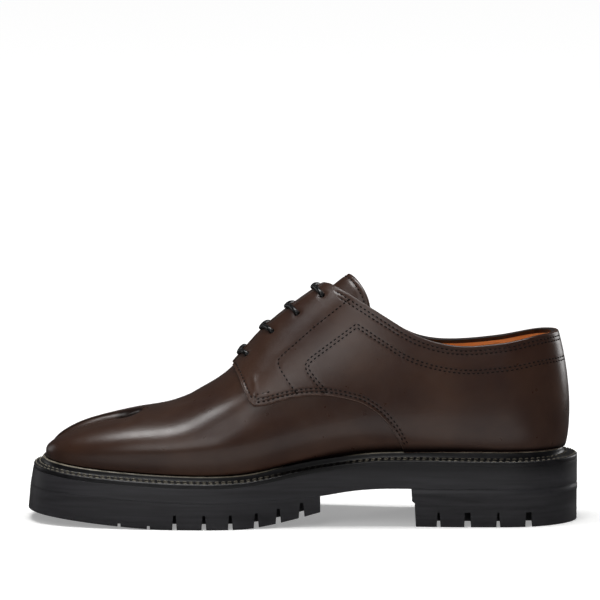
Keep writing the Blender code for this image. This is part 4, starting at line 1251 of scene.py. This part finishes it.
def tonguePoint(along, across, depth):
    # tongue as a sheet under the upper: rows lean back at their sides towards the tip
    side = "lateral" if across > 0 else "medial"
    share = abs(across)
    widen = smoothStep(tongue["front"], tongue["wideFrom"], along)
    narrow = smoothStep(tongue["narrowFrom"], tongue["tip"], along)
    wide = tongue["frontHalfWidth"] + (tongue["halfWidth"] - tongue["frontHalfWidth"]) * widen
    wide = wide - (tongue["halfWidth"] - tongue["tipHalfWidth"]) * narrow
    lean = tongue["tipLean"][side] * smoothStep(tongue["front"], tongue["tip"], along)
    lift = tongue["tipLift"] * smoothStep(tongue["liftFrom"], tongue["tip"], along) * (1 - share ** 2)
    sweep = share ** tongue["leanBend"] - tongue["cornerRound"] * share ** tongue["cornerBend"]
    station = stationOf(along - lean * sweep)
    girth = girthFromRidge(side, station, wide * share)
    return upperPoint(side, station, girth) + upperNormal(side, station, girth) * (depth + lift)[..., None]


def makeTongue():
    # sheet with rounded rims, its top pressed in along one row of stitches near the tip
    along = np.linspace(tongue["front"], tongue["tip"], tongue["rows"])
    halfShare = np.linspace(0, 1, tongue["columns"])
    share = np.concatenate((-halfShare[:0:-1], halfShare))

    def sheet(depths):
        # points of the tongue at a depth for each place of its grid
        return np.stack([tonguePoint(along, place, depths[:, index]) for index, place in enumerate(share)], 1)

    depth = -(shoe["wall"] + tongue["clearance"])
    outside = sheet(np.full((len(along), len(share)), depth))
    rim = np.concatenate((outside[:, 0], outside[-1], outside[::-1, -1]))
    bare = 1 - quarterRound(distanceTo(outside, rim), tongue["edgeRound"])
    stitchLine = distanceTo(outside, outside[-1])
    groove = tongue["grooveDepth"] * np.exp(-((stitchLine - tongue["stitchRow"]) / tongue["grooveWidth"]) ** 2)
    top = sheet(depth - bare * tongue["roundDepth"][0] - groove)
    under = sheet(depth - tongue["thickness"] + bare * tongue["roundDepth"][1])
    rows, count = top.shape[:2]
    skins = shellFaces(rows, count)
    index = np.concatenate((np.zeros(len(skins[0]), int), np.full(len(skins[1]), 2), np.ones(len(skins[2]), int)))
    piece = addPiece("tongueLeather", np.concatenate((top.reshape(-1, 3), under.reshape(-1, 3))),
                     np.concatenate(skins), [calfFinish, edgeFinish, liningFinish], index, recalc=True,
                     sharp=tongue["sharp"])
    settle(piece, "brown_calf", "tongue")
    row = int(np.argmin(np.abs(stitchLine[:, count // 2] - tongue["stitchRow"])))
    ends = slice(tongue["stitchEnds"], -tongue["stitchEnds"])
    path = top[row, ends]
    normal = unit(np.cross(np.gradient(top[row], axis=0), top[row - 1] - top[row + 1]))[ends]
    normal = normal * np.sign(normal[:, 2:3])
    points, faces = stitchRow(path, np.linspace(0, 1, len(path)), normal, quarter["pitch"], quarter["stitchLength"],
                              quarter["stitchRadius"], quarter["stitchLift"])
    settle(addPiece("stitchesTongue", points, faces, [upperThread]), "brown_calf")


makeTongue()
print("tongue made")


# Sole pieces: a closed section carried along the shoe, from the back of the heel to the toe
def soleStations(heelRows, middleRows, toeRows):
    # stations from the back of the heel to the tip of the toe, even within each part
    heel = np.linspace(-1, 0, heelRows, endpoint=False)
    middle = np.linspace(0, 1, middleRows, endpoint=False)
    return np.concatenate((heel, middle, np.linspace(1, 2, toeRows)))


def sectionGrid(stations, profile, acrossCount):
    # section at each station: down one side's profile, across the bottom, up the other side, back across the top.
    # profile(side, along) gives insets and heights from the top edge down
    lines = []
    for side in sideSign:
        insets, heights = profile(side, plan(side, stations)[:, 0])
        line = edgeLine(side, stations[:, None] + 0 * insets, insets)
        lines.append(np.concatenate((line, heights(line)[..., None]), -1))
    medial, lateral = lines
    share = np.linspace(0, 1, acrossCount + 2)[1:-1, None]
    under = medial[:, -1:] + (lateral[:, -1:] - medial[:, -1:]) * share
    above = lateral[:, :1] + (medial[:, :1] - lateral[:, :1]) * share
    return np.concatenate((medial, under, lateral[:, ::-1], above), axis=1)


def addSection(name, stations, profile):
    # solid of rubber from its sections, with a cap where an end hasn't closed to a line
    grid = sectionGrid(stations, profile, sole["acrossCount"])
    rows, count = grid.shape[:2]
    faces = [gridFaces(rows, count, wrapColumns=True)]
    for row, order in ((0, -1), (rows - 1, 1)):
        if np.ptp(grid[row, :, 1]) > 0.01:
            faces.append((lidFaces(count) + row * count)[:, ::order])
    return addPiece(name, grid, np.concatenate(faces), [rubberFinish], merge=shoe["mergeDistance"], recalc=True,
                    sharp=sole["sharp"])


def roundedSide(top, low, rounds, proud):
    # insets and heights of a side wall: small rounds at its upper and lower corners, slope between
    turn = np.linspace(0, np.pi / 2, 5)
    upperRound, lowerRound = rounds
    shares = np.concatenate((np.zeros(5), np.linspace(0, 1, 8)[1:-1], np.ones(5)))
    roundIn = np.concatenate((upperRound * (1 - np.sin(turn)), np.zeros(6), lowerRound * (1 - np.cos(turn))))
    roundFall = np.concatenate((upperRound * (np.cos(turn) - 1), np.zeros(6), lowerRound * (1 - np.sin(turn))))

    def profile(side, along):
        # insets go evenly from the upper corner's to the lower corner's
        upperIn, lowerIn = proud(side, along)

        def heights(line):
            # heights go evenly from the top to the bottom
            high, bottom = top(line[..., 0]), low(line[..., 0])
            return high + (bottom - high) * shares + roundFall

        return upperIn[:, None] + (lowerIn - upperIn)[:, None] * shares + roundIn, heights

    return profile


sole = {
    "midsoleTopFlare": 0.1,
    "midsoleLowFlare": 0.62,
    "seam": 0.04,
    "seamRound": 0.08,
    "treadRound": 0.45,
    "treadRear": 140.5,
    "flatStart": 184.0,
    "flatEnd": 226.0,
    "rearLift": 7.8,
    "rearBend": 1.5,
    "toeSpring": 6.0,
    "springBend": 1.35,
    "grooveReach": 24.0,
    "heelFront": 90.5,
    "lipDepth": 2.1,
    "lipTop": 14.2,
    "lipBottom": 12.3,
    "heelInset": 0.15,
    "ribProud": 0.3,
    "ribTop": 19.4,
    "ribBottom": 16.8,
    "ribEdge": 0.5,
    "wallFoot": 8.0,     # height at which the heel's wall goes on to the ground
    "overcut": 5.0,      # how far a cutter stands out of what it cuts
    "cutterHalfWidth": 60.0,
    "rows": (60, 110, 120),
    "outsoleRows": (60, 120),
    "heelRows": (60, 30),
    "acrossCount": 10,
    "sharp": 40,
    "cutSharp": 32,
}
treadGrooves = columns(
    "along width narrow depth",
    (150.6, 4.0, 1.7, 8.0),
    (163.3, 3.6, 1.6, 8.0),
    (175.3, 3.4, 1.5, 8.0),
    (189.4, 3.2, 1.5, 8.0),
    (203.8, 3.2, 1.5, 8.0),
    (219.8, 3.0, 1.5, 8.0),
    (234.0, 2.4, 1.4, 1.8),
    (250.0, 2.4, 1.4, 1.8),
)
heelGrooves = columns(
    "along width narrow depth",
    (26.9, 4.0, 3.0, 8.0),
    (43.5, 2.6, 1.2, 8.0),
    (60.2, 4.0, 3.0, 8.0),
    (76.0, 2.6, 1.2, 8.0),
)


def flareOf(upperShare, lowerShare):
    # side wall that leans out towards the ground by a share of the flare
    return lambda side, along: (-level("flare", along) * upperShare, -level("flare", along) * lowerShare)


def treadHeight(along):
    # underside of the forefoot: flat at the ball, lifted at the toe and behind the ball
    spring = np.clip((along - sole["flatEnd"]) / (shoe["soleLength"] - sole["flatEnd"]), 0, 1)
    rear = np.clip((sole["flatStart"] - along) / (sole["flatStart"] - sole["treadRear"]), 0, 1)
    return sole["toeSpring"] * spring ** sole["springBend"] + sole["rearLift"] * rear ** sole["rearBend"]


def grooveBlocks(table, ground):
    # tapered slots from both edges of a tread, as eight-cornered blocks
    parts = []
    corner = np.array([(x, y, z) for x in (-1, 1) for y in (0, 1) for z in (0, 1)], float)
    faces = np.array([(0, 1, 3, 2), (4, 6, 7, 5), (0, 4, 5, 1), (2, 3, 7, 6), (0, 2, 6, 4), (1, 5, 7, 3)])
    edges = {side: groundEdge(side) for side in sideSign}
    for place, width, narrow, depth in zip(*table.values()):
        for side, sign in sideSign.items():
            order = np.argsort(edges[side][:, 0])
            rimSide = np.interp(place, *edges[side][order].T)
            span = np.where(corner[:, 2] > 0, narrow, width)
            across = rimSide + sign * np.where(corner[:, 1] > 0, sole["overcut"], -sole["grooveReach"])
            floor = float(ground(np.array(place)))
            height = np.where(corner[:, 2] > 0, floor + depth, floor - sole["overcut"])
            parts.append((np.stack((place + corner[:, 0] * span / 2, across, height), -1), faces))
    return joinGrids(parts)


def heelSide(side, along):
    # insets and heights of the heel's wall: a flat rib near its top, a small round at the ground
    turn = np.linspace(0, np.pi / 2, 5)
    flush, proud = sole["heelInset"], sole["heelInset"] - sole["ribProud"]
    top = levelTable["under"][0] - sole["seam"]
    insets = np.concatenate(([flush + sole["seamRound"], flush, flush, proud, proud, flush, flush],
                             flush + sole["treadRound"] * (1 - np.cos(turn))))
    heights = np.concatenate(([top, top - sole["seamRound"], sole["ribTop"] + sole["ribEdge"], sole["ribTop"],
                               sole["ribBottom"], sole["ribBottom"] - sole["ribEdge"], sole["wallFoot"]],
                              sole["treadRound"] * (1 - np.sin(turn))))
    return np.broadcast_to(insets, (len(along), len(insets))), lambda line: np.broadcast_to(heights, line.shape[:2])


def makeSoles():
    # midsole, outsole and heel, the last two cut by their grooves and the heel also by its stepped breast
    seamRound, lowFlare = sole["seamRound"], sole["midsoleLowFlare"]
    midsole = addSection("midsoleRubber", soleStations(*sole["rows"]), roundedSide(
        lambda place: seat(place) - sole["seam"], lambda place: level("under", place), (seamRound, seamRound),
        flareOf(sole["midsoleTopFlare"], lowFlare)))
    settle(midsole, "black_rubber", "midsole")
    rearRows, toeRows = sole["outsoleRows"]
    rear = stationOf(np.linspace(sole["treadRear"], shoe["toeCentre"], rearRows, endpoint=False))
    outsole = addSection("outsoleRubber", np.concatenate((rear, np.linspace(1, 2, toeRows))), roundedSide(
        lambda place: level("under", place) - sole["seam"], treadHeight, (seamRound, sole["treadRound"]),
        flareOf(lowFlare, 1.0)))
    cutAway(outsole, *grooveBlocks(treadGrooves, treadHeight), sole["cutSharp"])
    settle(outsole, "black_rubber", "outsole")
    backRows, sideRows = sole["heelRows"]
    back = np.linspace(-1, 0, backRows, endpoint=False)
    sides = stationOf(np.linspace(shoe["heelCentre"], sole["heelFront"], sideRows))
    heel = addSection("heelRubber", np.concatenate((back, sides)), heelSide)
    cutAway(heel, *grooveBlocks(heelGrooves, np.zeros_like), sole["cutSharp"])
    front, behind, over = sole["heelFront"], sole["heelFront"] - sole["lipDepth"], sole["overcut"]
    breast = np.array(((front, sole["lipTop"]), (behind, sole["lipBottom"]), (behind, -over), (front + over, -over),
                       (front + over, sole["lipTop"]), (front + 2, sole["lipTop"])))
    wedge = np.concatenate([np.insert(breast, 1, sign * sole["cutterHalfWidth"], axis=1) for sign in (-1, 1)])
    ring = np.arange(6)
    skin = np.stack((ring, (ring + 1) % 6, (ring + 1) % 6 + 6, ring + 6), -1)
    lid = np.array([(0, 1, 2, 5), (2, 3, 4, 5)])
    cutAway(heel, wedge, np.concatenate((skin, lid, lid + 6)), sole["cutSharp"])
    settle(heel, "black_rubber", "heel")


makeSoles()
print("soles made")


# Welt: flat stitched edge outside, sloping up to a raised bead beside the upper
welt = {
    "slopeWidth": 2.4,
    "edgeRound": 0.8,
    "slopeShare": 0.25,
    "slopeBend": 1.6,
    "riseBend": 1.5,
    "beadRadius": 0.95,
    "gap": 0.06,
    "crest": (2, 3, 4, 5, 6),   # which facets of the bead take the painted highlight
    "outerRow": 1.2,
    "innerRowFromSlope": 1.1,
    "forePitch": 3.5,
    "threadRadius": 0.3,
    "threadShare": 0.72,
    "threadLift": 0.16,
    "outerRowRise": 0.02,
    "innerRowShare": 0.8,      # of the slope's rise
    "rowLean": (0.35, 0.3),    # how far the stitches of each row face outwards
    "rows": (70, 150, 150),
    "beadPoints": 13,
    "beadTurn": 0.9,           # of a half circle
    "sharp": 60,
}


def weltProfile(side, along):
    # insets and heights round the welt's section, from its inner foot outwards, over the edge and up to the bead
    width = weltWidth(side, along) - welt["gap"]
    edge, bead = level("edge", along), level("bead", along)
    low = seat(along)
    turn = np.linspace(0, np.pi / 2, 5)[:, None]
    edgeIn = welt["edgeRound"] * (1 - np.sin(turn)) + 0 * width
    edgeUp = edge - welt["edgeRound"] * (1 - np.cos(turn))
    share = np.linspace(0, 1, 7)[1:-1, None]
    slopeStart, slopeEnd = welt["edgeRound"] + 0 * width, width - welt["slopeWidth"]
    slopeIn = slopeStart + (slopeEnd - slopeStart) * share
    slopeUp = edge + welt["slopeShare"] * bead * share ** welt["slopeBend"]
    radius = welt["beadRadius"]
    riseShare = np.linspace(0, 1, 6)[:-1, None]
    riseIn = slopeEnd + (width - 2 * radius - slopeEnd) * np.sin(riseShare * np.pi / 2)
    riseUp = edge + bead * welt["slopeShare"] + (bead * (1 - welt["slopeShare"]) - radius) * (
        riseShare ** welt["riseBend"])
    beadTurn = np.linspace(0, np.pi * welt["beadTurn"], welt["beadPoints"])[:, None]
    beadIn = width - radius - radius * np.cos(beadTurn)
    beadUp = edge + bead - radius + radius * np.sin(beadTurn)
    flush = 0 * width[None]
    insets = np.concatenate((width[None], flush, flush, edgeIn[::-1], slopeIn, riseIn, beadIn))
    heights = np.concatenate((low[None], low[None], (edge - welt["edgeRound"])[None], edgeUp[::-1], slopeUp, riseUp,
                              beadUp))
    return insets, heights


def weltRows(side, along):
    # insets and heights of the two stitched rows: one beside the edge, one on the slope
    slope = weltWidth(side, along) - welt["gap"] - welt["slopeWidth"]
    rise = welt["slopeShare"] * level("bead", along) * welt["innerRowShare"]
    insets = (0 * along + welt["outerRow"], slope - welt["innerRowFromSlope"])
    return insets, (level("edge", along) + welt["outerRowRise"], level("edge", along) + rise)


def makeWelt():
    # ring of sections up one side of the shoe and back down the other, with two rows of stitches
    stations = soleStations(*welt["rows"])
    places = {side: plan(side, stations)[:, 0] for side in sideSign}

    def linesOf(side, profile):
        # lines along one side, one for each inset and height of a profile
        return [np.concatenate((edgeLine(side, stations, inset), height[:, None]), 1)
                for inset, height in zip(*profile(side, places[side]))]

    medial, lateral = (np.stack(linesOf(side, weltProfile), 1) for side in sideSign)
    ring = np.concatenate((medial, lateral[-2:0:-1]))
    count = ring.shape[1]
    faces = gridFaces(len(ring) + 1, count, wrapColumns=True) % (len(ring) * count)
    # facets of the bead's crest that take the painted highlight
    facets = count - welt["beadPoints"] + np.array(welt["crest"])
    crest = np.isin(np.arange(len(faces)) % count, facets).astype(int)
    piece = addPiece("weltLeather", ring, faces, [weltFinish, beadHighlightFinish], crest, merge=shoe["mergeDistance"],
                     recalc=True, sharp=welt["sharp"])
    settle(piece, "black_welt", "welt")
    parts = []
    for medialRow, lateralRow, lean in zip(*(linesOf(side, weltRows) for side in sideSign), welt["rowLean"]):
        faced = [np.insert(-inward(side, stations) * lean, 2, 1.0, axis=1) for side in sideSign]
        path = np.concatenate((medialRow, lateralRow[-2::-1]))
        normals = unit(np.concatenate((faced[0], faced[1][-2::-1])))
        run = runOf(path)
        parts.append(stitchRow(path, run / run[-1], normals, welt["forePitch"], welt["forePitch"] * welt["threadShare"],
                               welt["threadRadius"], welt["threadLift"]))
    points, faces = joinGrids(parts)
    settle(addPiece("stitchesWelt", points, faces, [weltThread]), "black_welt")


makeWelt()
print("welt made")


# Insole: tan sock over the insole, raised a little along its sides
insole = {
    "thickness": 3.0,
    "clearance": 0.9,
    "toeShort": 9.0,
    "toeEase": 30.0,
    "cupRise": 0.5,
    "cupWidth": 0.06,   # share of the width at each side
    "rows": (40, 70, 60),
    "columns": 24,
    "sharp": 50,
}


def makeInsole():
    # slab between two lines inside the upper, its rim raised a little
    stations = soleStations(*insole["rows"])
    lines = []
    for side in sideSign:
        along = plan(side, stations)[:, 0]
        short = insole["toeShort"] * smoothStep(shoe["topLength"] - insole["toeEase"], shoe["topLength"], along)
        lines.append(edgeLine(side, stations, weltWidth(side, along) + shoe["wall"] + insole["clearance"] + short))
    medial, lateral = lines
    share = np.linspace(0, 1, insole["columns"])[None, :, None]
    ground = medial[:, None] + (lateral - medial)[:, None] * share
    away = np.minimum(share, 1 - share)[..., 0]
    cup = insole["cupRise"] * (np.exp(-(away / insole["cupWidth"]) ** 2) - 1)
    low = seat(ground[..., 0])
    skins = [np.concatenate((ground, height[..., None]), -1).reshape(-1, 3)
             for height in (low + insole["thickness"] + cup, low)]
    piece = addPiece("insoleSock", np.concatenate(skins), np.concatenate(shellFaces(*ground.shape[:2])), [liningFinish],
                     merge=shoe["mergeDistance"], recalc=True, sharp=insole["sharp"])
    settle(piece, "tan_lining", "insole")


makeInsole()
print("insole made")


# Laces: bars over the throat, each end through its eyelet, with the hidden runs under the facings
lace = {
    "diameter": 2.5,
    "sides": 16,
    "bend": ((-2.4, 0.0), (-1.0, 0.0), (0.3, 0.1), (1.5, 0.3), (2.4, 0.9), (2.85, 1.9), (3.0, 3.4), (2.95, 5.6),
             (2.85, 8.2)),   # rise above the upper and run towards the ridge
    "middleRise": 2.5,
    "middleGirth": 0.998,   # beside the ridge, where the normal is read
    "forward": (3.8, 5.0, 5.2, 4.4),   # how far each bar bows towards the toe
    "braid": 1.0,    # mm, one check of the braid
    "points": 90,
    "under": (("medial", 0, 1, 0.0), ("medial", 2, 3, 0.0), ("lateral", 0, 2, -1.6), ("lateral", 1, 3, 1.6)),
    "underDepth": 2.4,   # below the upper's outside, between its lining and the tongue
    "underHalfWidth": 1.4,
    "underFlat": 0.34,
    "underShare": (-0.03, 1.03),   # a little past each eyelet
    "underPoints": 40,
    "braidRound": 8.0,   # checks of the braid round the cord
}


def smoothPath(points, count):
    # curve through a few places: chord-length natural splines of each coordinate
    run = runOf(points)
    fine = np.linspace(0, run[-1], count)
    return np.stack([spline({"along": run, "value": points[:, axis]}, "value", fine) for axis in range(3)], -1)


def addCord(name, path, radius, hint, flat):
    # closed cord along a path; its UV map counts checks of the braid along it and around it
    rings = tubeGrid(path, radius, lace["sides"], hint, flat)
    rows, count = rings.shape[:2]
    piece = addPiece(name, rings, tubeFaces(rows, count), [laceFinish], recalc=True)
    cordMap = piece.data.uv_layers.new(name="cordMap")
    corner = np.empty(len(piece.data.loops), np.int32)
    piece.data.loops.foreach_get("vertex_index", corner)
    down, around = runOf(path)[corner // count] / lace["braid"], corner % count * (lace["braidRound"] / count)
    cordMap.data.foreach_set("uv", np.stack((down, around), -1).ravel())
    return piece


def makeLaces():
    # bars from eyelet to eyelet over the ridge, then the flattened runs that join them underneath
    rise, run = np.array(lace["bend"]).T
    bars = zip(facing["eyeletAlong"], facing["eyeletFromRidge"], lace["forward"])
    for number, (along, reach, forward) in enumerate(bars, 1):
        ends = []
        for side in sideSign:
            station = stationOf(along + forward * run / reach)
            girth = girthFromRidge(side, station, reach - run)
            ends.append(upperPoint(side, station, girth) + upperNormal(side, station, girth) * rise[:, None])
        centre = stationOf(np.array([along + forward]))
        middle = upperPoint("medial", centre, np.ones(1))
        middle = middle + upperNormal("medial", centre, np.full(1, lace["middleGirth"])) * lace["middleRise"]
        path = smoothPath(np.concatenate((ends[0], middle, ends[1][::-1])), lace["points"])
        hint = np.broadcast_to(np.array([1.0, 0.0, 0.3]), path.shape)
        piece = addCord("laceBar" + str(number), path, lace["diameter"] / 2, hint, 1.0)
        settle(piece, "waxed_lace", "lace_bar_" + str(number))
    for side, first, second, bow in lace["under"]:
        share = np.linspace(*lace["underShare"], lace["underPoints"])
        along, reach = (values[first] + (values[second] - values[first]) * share
                        for values in (facing["eyeletAlong"], facing["eyeletFromRidge"]))
        station = stationOf(along)
        girth = girthFromRidge(side, station, reach + bow * np.sin(np.pi * share))
        normal = upperNormal(side, station, girth)
        path = upperPoint(side, station, girth) - normal * lace["underDepth"]
        name = "laceUnder%s%d%d" % (side.capitalize(), first + 1, second + 1)
        piece = addCord(name, path, lace["underHalfWidth"], normal, lace["underFlat"])
        settle(piece, "waxed_lace")


makeLaces()
print("laces made")


# Studio: pale floor, soft overhead box, fill from the camera's side
studio = {
    "frameWidth": 0.3279,
    "distance": 8.0,
    "elevation": 7.5,
    "target": (-0.0015, 0.0, 0.1192),
    "sensor": 36.0,
    "clipEnd": 50.0,
    "floor": "#f4f4f3",
    "nearGlow": 0.3,   # emission of the floor, painted light: beside the shoe it lightens the shoe's shadow, and far off the sweep stays white
    "farGlow": 0.9,
    "glowReach": (0.25, 1.4),
    "world": 0.05,
    "floorReach": 12.0,
    "lights": (   # name, place, aim, size in metres and watts
        ("overheadBox", (-0.05, 0.02, 1.2), (-0.05, -0.01, 0.05), (1.1, 0.42), 15.0),
        ("frontFill", (-0.5, -1.45, 0.95), (0.0, 0.0, 0.06), (0.8, 0.9), 5.0),
        ("highFill", (-0.2, -0.8, 1.2), (0.0, 0.0, 0.06), (0.5, 0.25), 1.0),
        ("heelRim", (0.9, 0.9, 0.3), (0.12, 0.0, 0.05), (0.5, 0.6), 2.5),
        ("toeRim", (-1.0, 0.7, 0.25), (-0.12, 0.0, 0.05), (0.5, 0.5), 0.6),
        ("floorCard", (-0.02, -0.32, 0.004), (-0.02, -0.32, 1.0), (0.5, 0.4), 0.42),
    ),
}


def areaLight(name, place, target, size, power):
    # soft box at a place, turned to its aim
    light = bpy.data.lights.new(name, "AREA")
    light.shape = "RECTANGLE"
    light.size, light.size_y = size
    light.energy = power
    lamp = bpy.data.objects.new(name, light)
    lamp.location = place
    lamp.rotation_euler = (Vector(target) - Vector(place)).to_track_quat("-Z", "Y").to_euler()
    bpy.context.scene.collection.objects.link(lamp)
    return lamp


def makeStudio():
    # camera at the photo's angle, pale floor that glows white far off, dim world and soft boxes
    rise = math.radians(studio["elevation"])
    target = Vector(studio["target"])
    lens = bpy.data.cameras.new("camera")
    lens.sensor_width = studio["sensor"]
    lens.lens = studio["sensor"] * studio["distance"] / studio["frameWidth"]
    lens.clip_end = studio["clipEnd"]
    camera = bpy.data.objects.new("camera", lens)
    back = Vector((0, -math.cos(rise), math.sin(rise)))
    camera.location = target + back * studio["distance"]
    camera.rotation_euler = (-back).to_track_quat("-Z", "Y").to_euler()
    bpy.context.scene.collection.objects.link(camera)
    bpy.context.scene.camera = camera

    floorMaterial, tree, shader, where = newMaterial("paleFloor")   # matt paper sweep that glows: painted light a little beside the shoe, white far off
    away = addNode(tree, "ShaderNodeVectorMath", {0: where}, operation="LENGTH")
    glow = addNode(tree, "ShaderNodeMapRange", {
        "Value": away.outputs["Value"], "From Min": studio["glowReach"][0], "From Max": studio["glowReach"][1],
        "To Min": studio["nearGlow"], "To Max": studio["farGlow"]}, interpolation_type="SMOOTHSTEP")
    setInputs(tree, shader, {"Base Color": hexColour(studio["floor"]), "Roughness": 0.9, "Specular IOR Level": 0.0,
                             "Emission Color": (1, 1, 1, 1), "Emission Strength": glow.outputs["Result"]})
    reach = studio["floorReach"]
    corners = [(-reach, -reach, 0), (reach, -reach, 0), (reach, reach, 0), (-reach, reach, 0)]
    mesh = bpy.data.meshes.new("floor")
    mesh.from_pydata(corners, [], [(0, 1, 2, 3)])
    mesh.materials.append(floorMaterial)
    floor = bpy.data.objects.new("floor", mesh)
    floor.visible_glossy = False   # its shine comes from the card in front of the shoe alone
    bpy.context.scene.collection.objects.link(floor)

    sky = bpy.data.worlds.new("studioWorld")
    sky.use_nodes = True
    seen = addNode(sky.node_tree, "ShaderNodeLightPath")
    glow = addNode(sky.node_tree, "ShaderNodeMapRange", {"Value": seen.outputs["Is Camera Ray"],
                                                         "To Min": studio["world"], "To Max": 1.0})
    setInputs(sky.node_tree, sky.node_tree.nodes["Background"], {"Color": (1, 1, 1, 1),
                                                                 "Strength": glow.outputs["Result"]})
    bpy.context.scene.world = sky
    for name, place, aim, size, power in studio["lights"]:
        lamp = areaLight(name, place, aim, size, power)
        lamp.visible_camera = name != "floorCard"   # the card lies in front of the shoe
    bpy.context.scene.view_settings.view_transform = "Standard"


makeStudio()
print("studio made")
